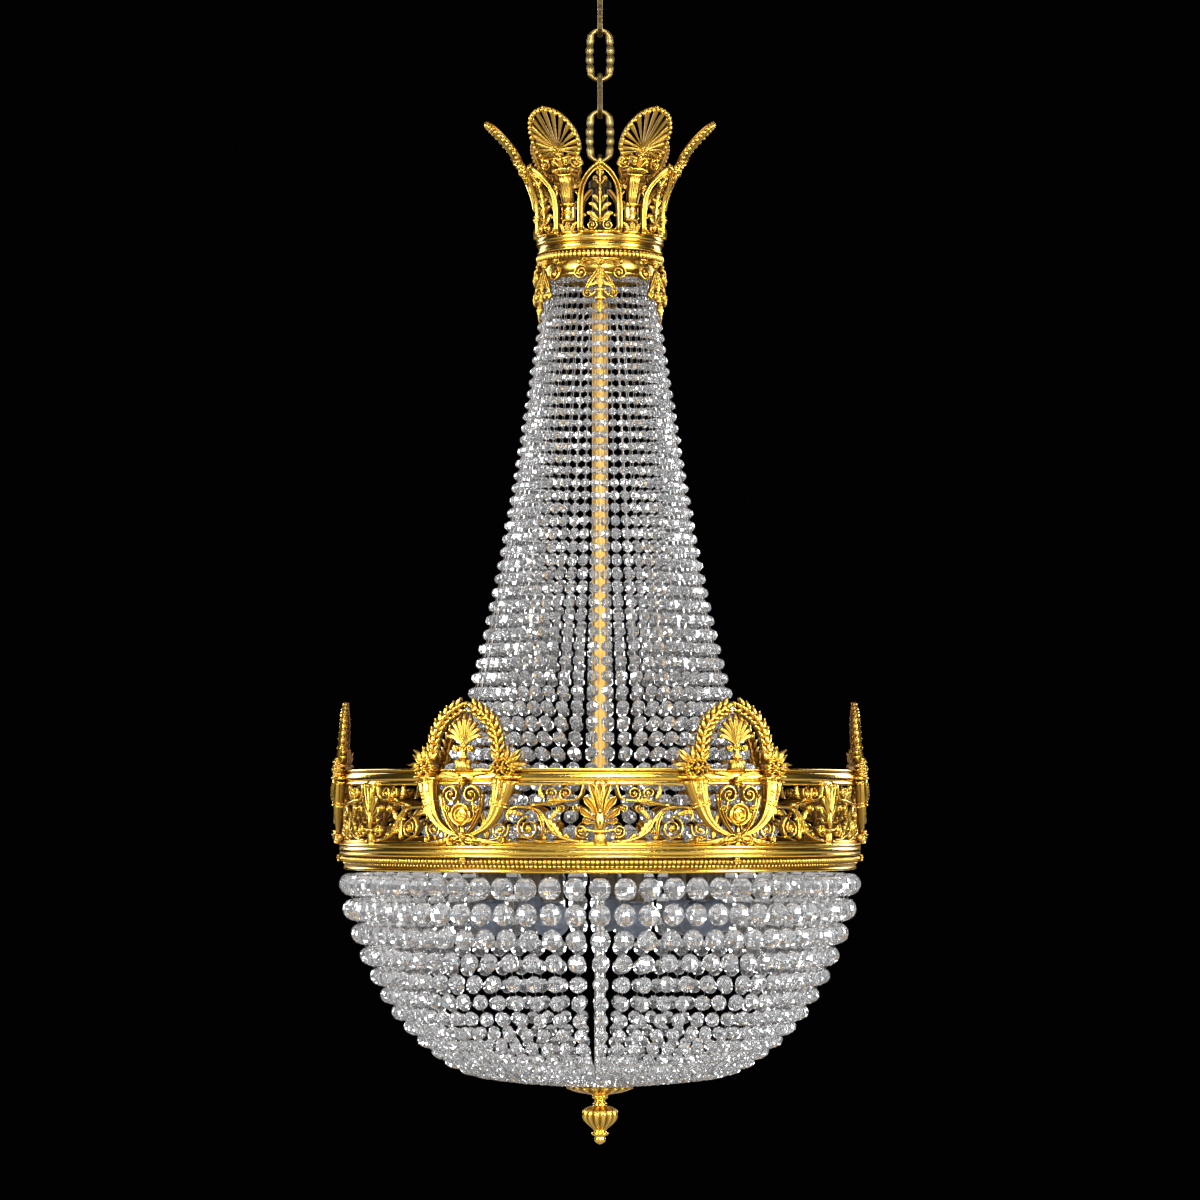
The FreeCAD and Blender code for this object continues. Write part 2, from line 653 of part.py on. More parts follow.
def pendant_shape():
    """A pointed drop: two volutes at the top that narrow through smaller scrolls to a point."""
    height = size("pendant_height")
    half = 0.5 * size("pendant_width")
    faces = [leaf((0, 0), (0, -height), 0.34 * half),
             plate((-0.8 * half, -0.08 * height), (0.8 * half, -0.08 * height), (0.8 * half, 0), (-0.8 * half, 0))]
    faces += both_sides([
        loop(0.3 * half, 0.14 * half, 0.68 * half, -0.18 * height),
        scroll((0.68 * half, -0.3 * height), 200, ((0.9 * height, 56),), 0.12 * half),
        loop(0.2 * half, 0.09 * half, 0.24 * half, -0.42 * height),
    ])
    top = size("crown_radius") - size("pendant_inset")
    lean = size("pendant_lean")
    wall = size("pendant_wall")
    section = straight_section(((top, 0), (top + wall, 0), (top + wall + lean, -height), (top + lean, -height)))
    return cut_out(faces, front_sector(section, 0.49 * PANEL_ANGLE), 2 * top)


for label, drop, shape, first in (
        ("crown_arch", "crown_drop", arch_shape(), 0.0),
        ("crown_palmette", "crown_drop", palmette_shape(), 0.5),
        ("crown_pendant", "crown_drop + crown_step + crown_bead", pendant_shape(), 0.0)):
    for index in range(ORNAMENTS):
        solid_piece("%s_%d" % (label, index + 1), drop, shape, (first + index) * PANEL_ANGLE)

# ---------------------------------------------------------------- tent


def tent_strand():
    """A strand from the crown ring over the waist and hip to the tent ring."""
    top = -total(CROWN_BOTTOM + " + seat_gap")
    end = -total(RIM_BOTTOM + " - spider_plate - tent_ring_height - seat_gap")
    stations = (
        (size("tent_radius"), top, size("tent_top_bead")),
        (size("tent_waist_radius"), -size("tent_waist_drop"), size("tent_waist_bead")),
        (size("tent_hip_radius"), -size("tent_hip_drop"), size("tent_hip_bead")),
        (size("tent_ring_radius"), end, size("tent_end_bead")),
    )
    return strand([(radius, height, bead, bead, 0.0) for radius, height, bead in stations])


tent_step = 360.0 / TENT_STRANDS
in_group = TENT_STRANDS // TENT_GROUPS
for index in range(TENT_GROUPS):
    strand_group("tent_strands_%d" % (index + 1), "0", tent_strand(), in_group, tent_step,
                 index * in_group * tent_step)

turned("tent_ring", RIM_BOTTOM + " - spider_plate - tent_ring_height", [
    ("tent_ring_radius - 0.5*tent_ring_width", negative("tent_ring_height"), 0),
    ("tent_ring_radius + 0.5*tent_ring_width", negative("tent_ring_height"), 0),
    ("tent_ring_radius + 0.5*tent_ring_width", "0", 0),
    ("tent_ring_radius - 0.5*tent_ring_width", "0", 0)])

# ---------------------------------------------------------------- main ring

turned("upper_rim", "ring_drop", [
    ("ring_radius - upper_rim_depth", negative("upper_rim_height"), 0),
    ("ring_radius", negative("upper_rim_height"), 0),
    ("ring_radius", negative("0.7*upper_rim_height"), 0),
    ("ring_radius - upper_groove", negative("0.5*upper_rim_height"), 0),
    ("ring_radius", negative("0.3*upper_rim_height"), 0),
    ("ring_radius", "0", 0),
    ("ring_radius - upper_rim_depth", "0", 0)])
turned("lower_rim", FRIEZE_BOTTOM, [
    ("ring_radius - lower_rim_depth", negative("lower_rim_height"), 0),
    ("ring_radius + rim_step - lip_setback", negative("lower_rim_height"), 0),
    ("ring_radius + rim_step - lip_setback", negative("rim_band + rim_bead"), 0),
    ("ring_radius", negative("rim_band + rim_bead"), 0.8),
    ("ring_radius", negative("rim_band"), 0),
    ("ring_radius + rim_step", negative("rim_band"), 0),
    ("ring_radius + rim_step", "0", 0),
    ("ring_radius - lower_rim_depth", "0", 0)])


def frieze_shape():
    """A sixth of the frieze: two rails, a palmette in the middle and scrolls running to each side."""
    height = size("frieze_height")
    radius = size("ring_radius")
    rail = size("rail_height")
    end = radius * math.sin(math.radians(0.5 * PANEL_ANGLE)) + 1
    faces = [plate((-end, 0), (end, 0), (end, rail), (-end, rail)),
             plate((-end, height - rail), (end, height - rail), (end, height), (-end, height)),
             leaf((0, 0.4 * height), (0, height), 14),
             disc(0, 0.36 * height, 8),
             plate((-7, 0), (7, 0), (3, 0.34 * height), (-3, 0.34 * height))]
    faces += both_sides([
        leaf((0, 0.38 * height), (22, 0.9 * height), 9, 0.08),
        leaf((0, 0.34 * height), (29, 0.66 * height), 9, 0.08),
        loop(9, 5, 22, 9 + 0.5 * rail),
        leaf((4, 0.1 * height), (24, 0.1 * height), 6),
        scroll((22, rail), 10, ((95, 38), (22, -100), (7, -160)), 4.5),
        loop(14, 9.5, 88, 13 + 0.5 * rail),
        disc(88, 13 + 0.5 * rail, 5),
        leaf((88, 13), (76, 20), 4),
        scroll((97, 27), 60, ((36, -65), (18, -85)), 4.5),
        leaf((118, 30), (140, 56), 10, 0.1),
        loop(12, 7, 42, height - 12.5),
        loop(15, 10, 140, height - 15.5),
        leaf((140, 0.6 * height), (152, 0), 10),
    ])
    section = straight_section(((radius - size("frieze_wall"), 0), (radius, 0),
                                (radius, height), (radius - size("frieze_wall"), height)))
    return cut_out(faces, front_sector(section, 0.5 * PANEL_ANGLE), 2 * radius)


def cartouche_shape():
    """Two crossed horns of plenty bound by a ribbon, under a wreath round a palmette."""
    height = size("cartouche_height")
    half = 0.5 * size("cartouche_width")
    band = size("wreath_width")
    rim_top = size("frieze_height") + size("upper_rim_height")
    spring = size("wreath_spring")
    rise = height - spring
    wreath = leaf((0, spring - rise), (0, spring + rise), 2 * half + band)
    hollow = leaf((0, spring - rise + 1.6 * band), (0, spring + rise - 1.6 * band), 2 * half - band)
    upper_half = plate((-2 * half, spring), (2 * half, spring), (2 * half, 2 * height), (-2 * half, 2 * height))
    faces = [wreath.cut(hollow).common(upper_half),
             disc(0, 5, 9), loop(14, 6, 0, 0.42 * rim_top),
             plate((-half, rim_top - 8), (half, rim_top - 8), (half, rim_top - 2), (-half, rim_top - 2)),
             plate((-3, 0), (3, 0), (2.5, spring + 16), (-2.5, spring + 16)),
             disc(0, rim_top + 6, 11)]
    faces += fan((0, spring + 16), 9, 80, 0.5 * rise, 0.42 * half, 4.6)
    faces += both_sides([
        plate((half - 0.5 * band, rim_top - 6), (half + 0.5 * band, rim_top - 6),
              (half + 0.5 * band, spring + 0.1), (half - 0.5 * band, spring + 0.1)),
        leaf((-10, 2), (half + 6, rim_top - 4), 24, -0.18),
        disc(half, rim_top, 13),
        leaf((half + 4, rim_top + 2), (half + 38, spring - 8), 15, 0.1),
        leaf((half - 2, rim_top - 8), (half + 32, rim_top - 22), 13),
        leaf((4, 3), (44, 8), 9, -0.1),
        loop(14, 9.5, 15.5, rim_top - 29),
        loop(7, 4, 13.5, spring + 12),
    ])
    inner = size("ring_radius") + size("seat_gap")
    wall = size("cartouche_wall")
    top = inner - size("wreath_lean")
    section = straight_section(((inner, 0), (inner + wall, 0), (inner + wall, rim_top + 2),
                                (top + 0.4 * wall, height), (top, height), (inner, rim_top + 2)))
    return cut_out(faces, front_sector(section, 0.4 * PANEL_ANGLE), 2 * inner)


for label, shape, first in (("frieze_panel", frieze_shape(), 0.0), ("cartouche", cartouche_shape(), 0.5)):
    for index in range(ORNAMENTS):
        solid_piece("%s_%d" % (label, index + 1), FRIEZE_BOTTOM, shape, (first + index) * PANEL_ANGLE)

rosette_spot = size("ring_radius") + 0.4 * size("rim_bead") + size("seat_gap")
rosette = Part.makeCylinder(size("rosette_radius"), size("rosette_height"), Vector(0, -rosette_spot, 0),
                            Vector(0, -1, 0))
rosettes = []
for index in range(ORNAMENTS):
    copy = rosette.copy()
    copy.rotate(Vector(0, 0, 0), Vector(0, 0, 1), (0.5 + index) * PANEL_ANGLE)
    rosettes.append(copy)
solid_piece("rim_rosettes", FRIEZE_BOTTOM + " + rim_band + 0.5*rim_bead", Part.makeCompound(rosettes))

# ---------------------------------------------------------------- lamps

turned("lamp_ring", RIM_BOTTOM, [
    ("lamp_circle - 0.5*lamp_ring_width", negative("lamp_ring_height"), 0),
    ("lamp_circle + 0.5*lamp_ring_width", negative("lamp_ring_height"), 0),
    ("lamp_circle + 0.5*lamp_ring_width", "0", 0),
    ("lamp_circle - 0.5*lamp_ring_width", "0", 0)])


def lamp_pieces(label, drop, corners):
    """Nine copies of one turned piece, each on its own axis on the circle of lamps."""
    spots = [Vector(radius, 0, height) for radius, height in corners[:3]]
    edges = [Part.LineSegment(spots[0], spots[1]).toShape(), Part.LineSegment(spots[1], spots[2]).toShape()]
    if len(corners) == 4:
        through = Vector(corners[3][0], 0, corners[3][1])
        bottom = Vector(0, 0, corners[3][2])
        edges.append(Part.Arc(spots[2], through, bottom).toShape())
    else:
        bottom = Vector(0, 0, spots[2].z)
        edges.append(Part.LineSegment(spots[2], bottom).toShape())
    edges.append(Part.LineSegment(bottom, spots[0]).toShape())
    turned_solid = Part.Face(Part.Wire(edges)).revolve(Vector(0, 0, 0), Vector(0, 0, 1), 360)
    copies = []
    for number in range(LAMPS):
        copy = turned_solid.copy()
        copy.translate(Vector(0, -size("lamp_circle"), 0))
        copy.rotate(Vector(0, 0, 0), Vector(0, 0, 1), LAMP_OFFSET + number * 360.0 / LAMPS)
        copies.append(copy)
    solid_piece(label, drop, Part.makeCompound(copies))


HOLDER_DROP = RIM_BOTTOM + " + lamp_ring_height"
lamp_pieces("lampholders", HOLDER_DROP,
            ((0, 0), (size("holder_radius"), 0), (size("holder_radius"), -size("holder_height"))))
neck = size("bulb_neck")
globe = size("bulb_radius")
globe_middle = -2 - math.sqrt(globe * globe - neck * neck)
lamp_pieces("bulbs", HOLDER_DROP + " + holder_height",
            ((0, 0), (neck, 0), (neck, -2), (globe, globe_middle, globe_middle - globe)))

# ---------------------------------------------------------------- bowl


def bowl_strand():
    """A strand from the lower rim over the shoulder and under the bowl to the bottom plate."""
    base = -total(RIM_BOTTOM)
    spots = [
        (size("ring_radius") - size("lip_setback"), base - size("seat_gap"), size("bowl_top_bead")),
        (size("bowl_shoulder_radius"), base - size("bowl_shoulder_depth"), size("bowl_shoulder_bead")),
        (size("bowl_turn_radius"), base - size("bowl_turn_depth"),
         0.5 * (size("bowl_shoulder_bead") + size("bowl_floor_bead"))),
        (size("bowl_floor_radius"), base - size("bowl_floor_depth"), size("bowl_floor_bead")),
        (size("plate_radius") - size("bowl_end_lap"), base - size("bowl_depth"), size("bowl_end_bead")),
    ]
    tilts = [0.0]
    for before, after in zip(spots, spots[2:]):
        tilts.append(math.atan2(before[0] - after[0], before[1] - after[1]) * -1)
    tilts.append(-0.5 * math.pi)
    stations = []
    for (radius, height, bead), tilt in zip(spots, tilts):
        pitch = 2 * math.pi * (radius - bead * 0.5) / BOWL_STRANDS
        stations.append((radius, height, min(bead, 0.85 * pitch), bead, tilt))
    return strand(stations)


bowl_step = 360.0 / BOWL_STRANDS
in_group = BOWL_STRANDS // BOWL_GROUPS
for index in range(BOWL_GROUPS):
    strand_group("bowl_strands_%d" % (index + 1), "0", bowl_strand(), in_group, bowl_step,
                 -90 + (index * in_group - in_group // 2) * bowl_step)

turned("bottom_plate", PLATE_DROP, [
    ("0", negative("plate_height"), 0),
    ("0.6*plate_radius", negative("plate_height"), 0),
    ("plate_radius", negative("0.6*plate_height"), 0),
    ("plate_radius", "0", 0),
    ("0", "0", 0)])
turned("finial", PLATE_DROP + " + plate_height", [
    ("0", negative("finial_height"), 0.4),
    ("0.32*finial_radius", negative("0.9*finial_height"), 0.2),
    ("0.25*finial_radius", negative("0.84*finial_height"), 0),
    ("0.44*finial_radius", negative("0.82*finial_height"), 0),
    ("0.44*finial_radius", negative("0.78*finial_height"), 0),
    ("0.3*finial_radius", negative("0.74*finial_height"), -0.1),
    ("finial_radius", negative("0.4*finial_height"), 0.3),
    ("0.4*finial_radius", negative("0.24*finial_height"), 0),
    ("0.4*finial_radius", negative("0.18*finial_height"), 0),
    ("0.27*finial_radius", negative("0.12*finial_height"), 0),
    ("0.43*finial_radius", negative("0.08*finial_height"), 0),
    ("0.43*finial_radius", "0", 0),
    ("0", "0", 0)])

# ---------------------------------------------------------------- check and write

doc.recompute()
for thing in doc.Objects:
    if "Invalid" in thing.State or "Error" in thing.State:
        raise RuntimeError("%s failed: %s" % (thing.Label, thing.State))
for piece in PARTS:
    if piece.Shape.isNull() or not piece.Shape.isValid():
        raise RuntimeError("%s has no valid shape" % piece.Label)

os.makedirs("parts", exist_ok=True)
for piece in PARTS:
    piece.Shape.exportStep("parts/%s.step" % piece.Label)
print("%d pieces, %d solids" % (len(PARTS), sum(len(piece.Shape.Solids) for piece in PARTS)))
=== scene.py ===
# %% [markdown]
# # A crystal basket chandelier
#
# The chandelier hangs on a short ornamented chain. A gilt crown of arches and palmettes carries a tent of
# bead strands, the strands open out to a wide gilt ring with a pierced frieze and six cartouches, and a
# bowl of larger beads hangs under the ring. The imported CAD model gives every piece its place, and this
# lesson builds the surfaces that the eye sees on it: cast and chased ornament, cut beads, and their
# finishes.
#
# Lengths are in millimetres up to the moment that a mesh is written, because a caster thinks in them.

# %% The frame
import math

import bmesh
import bpy
import numpy as np
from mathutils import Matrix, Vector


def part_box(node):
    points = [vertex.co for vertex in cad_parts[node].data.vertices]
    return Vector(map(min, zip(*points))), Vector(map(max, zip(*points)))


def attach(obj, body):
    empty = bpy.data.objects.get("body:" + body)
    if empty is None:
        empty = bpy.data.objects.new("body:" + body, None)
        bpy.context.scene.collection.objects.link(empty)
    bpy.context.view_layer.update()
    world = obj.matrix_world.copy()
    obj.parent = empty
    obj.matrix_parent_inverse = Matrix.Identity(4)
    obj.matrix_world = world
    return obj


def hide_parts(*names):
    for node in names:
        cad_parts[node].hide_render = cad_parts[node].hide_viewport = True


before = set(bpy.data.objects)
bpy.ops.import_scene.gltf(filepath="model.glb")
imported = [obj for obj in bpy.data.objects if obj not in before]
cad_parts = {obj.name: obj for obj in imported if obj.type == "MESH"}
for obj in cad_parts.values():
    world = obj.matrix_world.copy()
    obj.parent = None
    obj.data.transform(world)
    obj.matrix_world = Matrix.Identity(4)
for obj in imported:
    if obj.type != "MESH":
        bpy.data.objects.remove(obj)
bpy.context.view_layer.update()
MM = 0.001
ORNAMENTS = 6
PANEL_ANGLE = 360.0 / ORNAMENTS
rng = np.random.default_rng(20)


def corners(node):
    """Lowest and highest corner of a CAD node in millimetres."""
    low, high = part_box(node)
    return np.array(low) / MM, np.array(high) / MM


# %% [markdown]
# ## A shader socket that does sums
#
# A finish is a small network of nodes. Wiring each Math node by hand hides the formula, so this class
# wraps a socket and turns an ordinary Python expression into the nodes that work it out. Every other kind
# of node comes from one method, which sets the node's settings first and then its sockets.

# %% The node tree of a finish


class Wire:
    """A socket of a finish. Sums, products and powers of wires and numbers add Math nodes."""

    def __init__(self, finish, socket):
        self.finish = finish
        self.socket = socket

    def math(self, operation, first, second):
        return self.finish.node("ShaderNodeMath", {"operation": operation}, {0: first, 1: second})

    def __add__(self, other):
        return self.math("ADD", self, other)

    def __sub__(self, other):
        return self.math("SUBTRACT", self, other)

    def __rsub__(self, other):
        return self.math("SUBTRACT", other, self)

    def __mul__(self, other):
        return self.math("MULTIPLY", self, other)

    def __pow__(self, other):
        return self.math("POWER", self, other)

    __radd__ = __add__
    __rmul__ = __mul__

    def clipped(self):
        """The same number, held between 0 and 1."""
        return self.finish.node("ShaderNodeClamp", {}, {0: self})


class Finish:
    """A material with one Principled shader. Colours are given as red, green and blue."""

    def __init__(self, name, **sockets):
        self.material = bpy.data.materials.new(name)
        self.material.use_nodes = True
        self.tree = self.material.node_tree
        self.shader = self.tree.nodes["Principled BSDF"]
        self.set(**sockets)

    def node(self, kind, settings=None, sockets=None, output=0):
        """Add a node, apply its settings, then fill its sockets with values or wires."""
        made = self.tree.nodes.new(kind)
        for name, value in (settings or {}).items():
            setattr(made, name, value)
        for name, value in (sockets or {}).items():
            self.fill(made.inputs[name], value)
        return Wire(self, made.outputs[output])

    def fill(self, socket, value):
        """Link a wire to a socket, or set the socket's own value."""
        if isinstance(value, Wire):
            self.tree.links.new(value.socket, socket)
        else:
            socket.default_value = (*value, 1.0) if socket.type == "RGBA" else value

    def set(self, **sockets):
        """Fill sockets of the Principled shader: base_color means Base Color."""
        for name, value in sockets.items():
            words = name.replace("_", " ").title().replace("Ior", "IOR")
            self.fill(self.shader.inputs[words], value)

    def place(self):
        """Object coordinates, which stay with the piece when it moves."""
        return self.node("ShaderNodeTexCoord", output="Object")

    def noise(self, scale, detail=2.0):
        """Cloudy noise between 0 and 1, in cells per metre."""
        return self.node("ShaderNodeTexNoise", {}, {"Vector": self.place(), "Scale": scale, "Detail": detail})

    def mix(self, factor, first, second):
        """A colour between two colours."""
        return self.node("ShaderNodeMix", {"data_type": "RGBA"}, {0: factor, 6: first, 7: second}, 2)

    def bump(self, height, distance):
        """A bumped normal from a height between 0 and 1 and the real depth of that height in metres."""
        return self.node("ShaderNodeBump", {}, {"Distance": distance, "Height": height})


# %% [markdown]
# ## The finishes
#
# The mounts are cast brass, fire-gilt and burnished: crests are pale yellow and nearly mirror bright, and
# the recesses have a dull surface and a painted shade, a deep red-brown that stands in for the shade that
# falls into them. The ornament meshes carry a number called relief, 0 in the ground and 1 on a crest, so
# the painted shade and the polish follow the chasing at any angle. A curvature node could guess this, but
# it is lost in an export; an attribute is exact and cheap.

# %% Gilt brass


def gilding(name, recess, crest, dull, polished, carries_relief=False):
    """Metal that goes from a dull recess to a polished crest, with cast grain and soft clouds. Where a mesh
    carries relief, the dark recess colour is painted shade; elsewhere the two colours are cloudy tone only.
    """
    finish = Finish(name, metallic=1.0)
    cloud = finish.noise(45.0, 4.0)
    grain = finish.noise(1500.0)
    if carries_relief:
        relief = finish.node("ShaderNodeAttribute", {"attribute_name": "relief"}, output="Fac")
    else:
        relief = cloud * 1.6
    # painted shade: where relief is low the colour goes to the dark recess colour, mixed with cloudy tone;
    # the same number sets the roughness
    painted_shade_and_tone = (relief ** 2.0 * 0.9 + cloud * 0.2).clipped()
    finish.set(base_color=finish.mix(painted_shade_and_tone, recess, crest),
               roughness=dull + painted_shade_and_tone * (polished - dull) + grain * 0.06,
               normal=finish.bump(grain * 0.6 + cloud, 0.0001))
    return finish.material


# gilt_ornament reads relief, so its near-black recess colour is painted shade in every hollow and along every
# edge
gilt = gilding("gilt_ornament", (0.11, 0.030, 0.002), (1.0, 0.64, 0.11), 0.40, 0.17, True)
gilt_plain = gilding("gilt_plain", (0.45, 0.22, 0.03), (0.80, 0.48, 0.11), 0.48, 0.36)
bronze = gilding("dark_bronze", (0.035, 0.024, 0.014), (0.12, 0.085, 0.05), 0.5, 0.38)
# the chain's dull brown is its aged tone; its near-black recess colour, read through relief, is painted shade
# in the leaf grooves and on the links' edges
chain_brass = gilding("aged_chain_brass", (0.012, 0.007, 0.002), (0.33, 0.225, 0.07), 0.5, 0.24, True)
nickel = gilding("nickel_plate", (0.42, 0.41, 0.39), (0.78, 0.77, 0.74), 0.32, 0.18)

# %% [markdown]
# Lead crystal bends light more than window glass does, and each bead is cut into flat facets. A little
# white body stands for the many passes of light between beads that a render can't follow in a short time.

# %% Crystal, glass and small parts
crystal = Finish("cut_crystal", base_color=(0.98, 0.99, 1.0), ior=1.58, transmission_weight=0.915)
crystal.set(roughness=crystal.noise(220.0) * 0.03)
pin_wire = Finish("pin_wire", base_color=(0.15, 0.14, 0.13), metallic=1.0)
pin_wire.set(roughness=pin_wire.noise(400.0) * 0.2 + 0.2)

frosted = Finish("frosted_bulb", base_color=(0.16, 0.19, 0.25), roughness=0.28, ior=1.45,
                 transmission_weight=0.45)
dimples = frosted.node("ShaderNodeTexVoronoi", {"feature": "F1"}, {"Vector": frosted.place(), "Scale": 190.0})
frosted.set(normal=frosted.bump(dimples, 0.0012))

# the stem is ochre inside the tent; a painted shade turns it dark over the last 33 mm below the foot of the
# crown ring, and keeps it dark above, inside the crown
stem_gilt = Finish("stem_gilt", metallic=1.0)
crown_foot = corners("crown_ring")[0][2] * MM
rise = stem_gilt.node("ShaderNodeSeparateXYZ", {}, {0: stem_gilt.place()}, 2) - crown_foot
shade = (rise * 30.0 + 1.0).clipped()
stem_gilt.set(base_color=stem_gilt.mix(shade, (0.50, 0.30, 0.08), (0.03, 0.02, 0.012)),
              roughness=stem_gilt.noise(60.0) * 0.1 + 0.42)

holder_shell = Finish("holder_shell", metallic=0.7)
stain = holder_shell.noise(60.0, 3.0)
holder_shell.set(base_color=holder_shell.mix(stain, (0.035, 0.026, 0.018), (0.10, 0.075, 0.045)),
                 roughness=stain * 0.2 + 0.35)

# %% [markdown]
# ## Surfaces on a grid
#
# Every shape below is a grid of points worked out as one numpy array. A Casting gathers such grids, with
# their relief, until the whole ornament can be written as a single mesh. Joining them with boolean
# operations would fuse them truly, but a founder's wax is built the same way, from rolls pressed
# together, and overlapping closed shells look no different.

# %% The casting


def quads(rows, columns, wrap_rows=False, wrap_columns=False):
    """Corner numbers of the faces between neighbouring rows and columns of a grid."""
    row = np.arange(rows if wrap_rows else rows - 1)[:, None]
    column = np.arange(columns if wrap_columns else columns - 1)[None, :]
    below = (row + 1) % rows
    right = (column + 1) % columns
    ring = [row * columns + column, row * columns + right, below * columns + right, below * columns + column]
    return np.stack(np.broadcast_arrays(*ring), -1).reshape(-1, 4).tolist()


def tube_faces(rows, columns):
    """Faces of a grid whose columns close on themselves, with a face over each end."""
    last = (rows - 1) * columns
    ends = [list(range(columns - 1, -1, -1)), list(range(last, last + columns))]
    return quads(rows, columns, wrap_columns=True) + ends


class Casting:
    """Surfaces gathered into one mesh. The backs of its straps and leaves lie at w = back."""

    def __init__(self, back=0.0):
        self.back = back
        self.points, self.relief, self.faces, self.slots = [], [], [], []
        self.count = 0

    def add(self, points, faces, relief, slot=0):
        """Take in a grid of points, its faces and the relief of each point."""
        self.relief.append(np.broadcast_to(relief, points.shape[:-1]).reshape(-1))
        self.points.append(points.reshape(-1, 3))
        self.faces += [[corner + self.count for corner in face] for face in faces]
        self.slots += [slot] * len(faces)
        self.count += len(self.points[-1])

    def tube(self, points, relief, slot=0):
        """Take in a grid whose columns close on themselves, and close both ends."""
        self.add(points, tube_faces(*points.shape[:2]), relief, slot)

    def take(self, other, *sides):
        """Take in another casting once for each side: 1 as it is, -1 mirrored across the middle."""
        for side in sides:
            self.relief += other.relief
            self.points += [block * (side, 1, 1) for block in other.points]
            self.faces += [[corner + self.count for corner in face] for face in other.faces]
            self.slots += other.slots
            self.count += other.count

    def all_points(self):
        return np.concatenate(self.points)


def write_piece(name, casting, node, points=None, body="chandelier", materials=(gilt,),
                smooth=True):
    """Write a casting on a body in place of a CAD node. Its points may be given bent to their place."""
    mesh = bpy.data.meshes.new(name)
    mesh.from_pydata((casting.all_points() if points is None else points) * MM, [], casting.faces)
    # relief, 0 in the ground and 1 on a crest, sets where the gilt and chain finishes paint shade
    mesh.attributes.new("relief", "FLOAT", "POINT").data.foreach_set("value", np.concatenate(casting.relief))
    mesh.polygons.foreach_set("material_index", casting.slots)
    mesh.polygons.foreach_set("use_smooth", [smooth] * len(mesh.polygons))
    for material in materials:
        mesh.materials.append(material)
    work = bmesh.new()
    work.from_mesh(mesh)
    bmesh.ops.recalc_face_normals(work, faces=work.faces)
    work.to_mesh(mesh)
    work.free()
    piece = bpy.data.objects.new(name, mesh)
    bpy.context.scene.collection.objects.link(piece)
    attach(piece, body)
    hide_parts(node)


# %% [markdown]
# A curved wall carries most of the ornament. Its points are drawn flat, as u across, v up and w out of
# the wall, and the wall then bends them round the stem: the sine of the angle is u over the wall's
# radius, which keeps the front view of the drawing true, and a leaning wall also tips w by its slope.

# %% A wall round the stem


def revolve(radius, height, turn):
    """Points round the stem at a radius and a height, turned from the front."""
    return np.stack(np.broadcast_arrays(radius * np.sin(turn), -radius * np.cos(turn), height), -1)


class Wall:
    """A wall of revolution given by its radii at rising heights above a foot level."""

    def __init__(self, foot, heights, radii):
        self.foot = foot
        self.heights = np.array(heights, float)
        self.radii = np.array(radii, float)
        self.tilt = np.arctan(np.gradient(self.radii, self.heights))

    def place(self, points, angle):
        """Bend (u, v, w) points round the stem, with the middle of the drawing at an angle from the front."""
        across, up, out = points.T
        radius = np.interp(up, self.heights, self.radii)
        tilt = np.interp(up, self.heights, self.tilt)
        turn = np.arcsin(np.clip(across / radius, -0.98, 0.98)) + math.radians(angle)
        return revolve(radius + out * np.cos(tilt), self.foot + up - out * np.sin(tilt), turn)


def cast_six(name, casting, wall, first):
    """Six copies of an ornament on its wall, each a piece for the CAD node of the same name."""
    points = casting.all_points()
    for index in range(ORNAMENTS):
        node = "%s_%d" % (name, index + 1)
        write_piece(node + "_chased", casting, node, wall.place(points, first + index * PANEL_ANGLE))
    print(name, "has", len(points), "points")


# %% [markdown]
# The chaser's vocabulary is small: straps, leaves, scrolls, buttons and rosettes. Where one tool is used
# several times, its measures stand in a list. A strap carries a closed section along a line. A line is a
# chain of tangent bends, the way a scroll is drawn with a compass, so that it never kinks. The sections
# are half outlines of what a real casting shows: a round cord, a channel with two raised lips, and a leaf
# with a middle rib.

# %% Lines and sections
ROUND = np.array([(math.cos(a), math.sin(a)) for a in np.linspace(0, math.pi, 7)])
CHANNEL = np.array([(1, 0), (1, 0.7), (0.82, 1), (0.6, 0.85), (0.35, 0.45), (0, 0.3),
                    (-0.35, 0.45), (-0.6, 0.85), (-0.82, 1), (-1, 0.7), (-1, 0)])
RIDGE = np.array([(1, 0), (0.92, 0.5), (0.55, 0.78), (0.14, 0.55), (0, 1),
                  (-0.14, 0.55), (-0.55, 0.78), (-0.92, 0.5), (-1, 0)])
BLADE = np.array([(1, 0), (0.6, 0.6), (0, 1), (-0.6, 0.6), (-1, 0)])
BLOCK = np.array([(1, 0), (1, 0.75), (0.86, 1), (-0.86, 1), (-1, 0.75), (-1, 0)])
FLUTED = np.array([(math.cos(a) * (1 - 0.12 * math.sin(4.5 * a) ** 2),
                    math.sin(a) * (1 - 0.3 * math.sin(4.5 * a) ** 2)) for a in np.linspace(0, math.pi, 19)])


def lengths(path):
    """How far along a line each of its points lies."""
    return np.concatenate([[0], np.cumsum(np.linalg.norm(np.diff(path, axis=0), axis=1))])


def spots_at(path, marks):
    """The spots of a line at distances along it."""
    return np.stack([np.interp(marks, lengths(path), axis) for axis in path.T], 1)


def even(path, count):
    """The same line with its points evenly spaced."""
    return spots_at(path, np.linspace(0, lengths(path)[-1], count))


def line(*spots):
    """A line through a few corners."""
    return even(np.array(spots, float), 4 * len(spots) - 3)


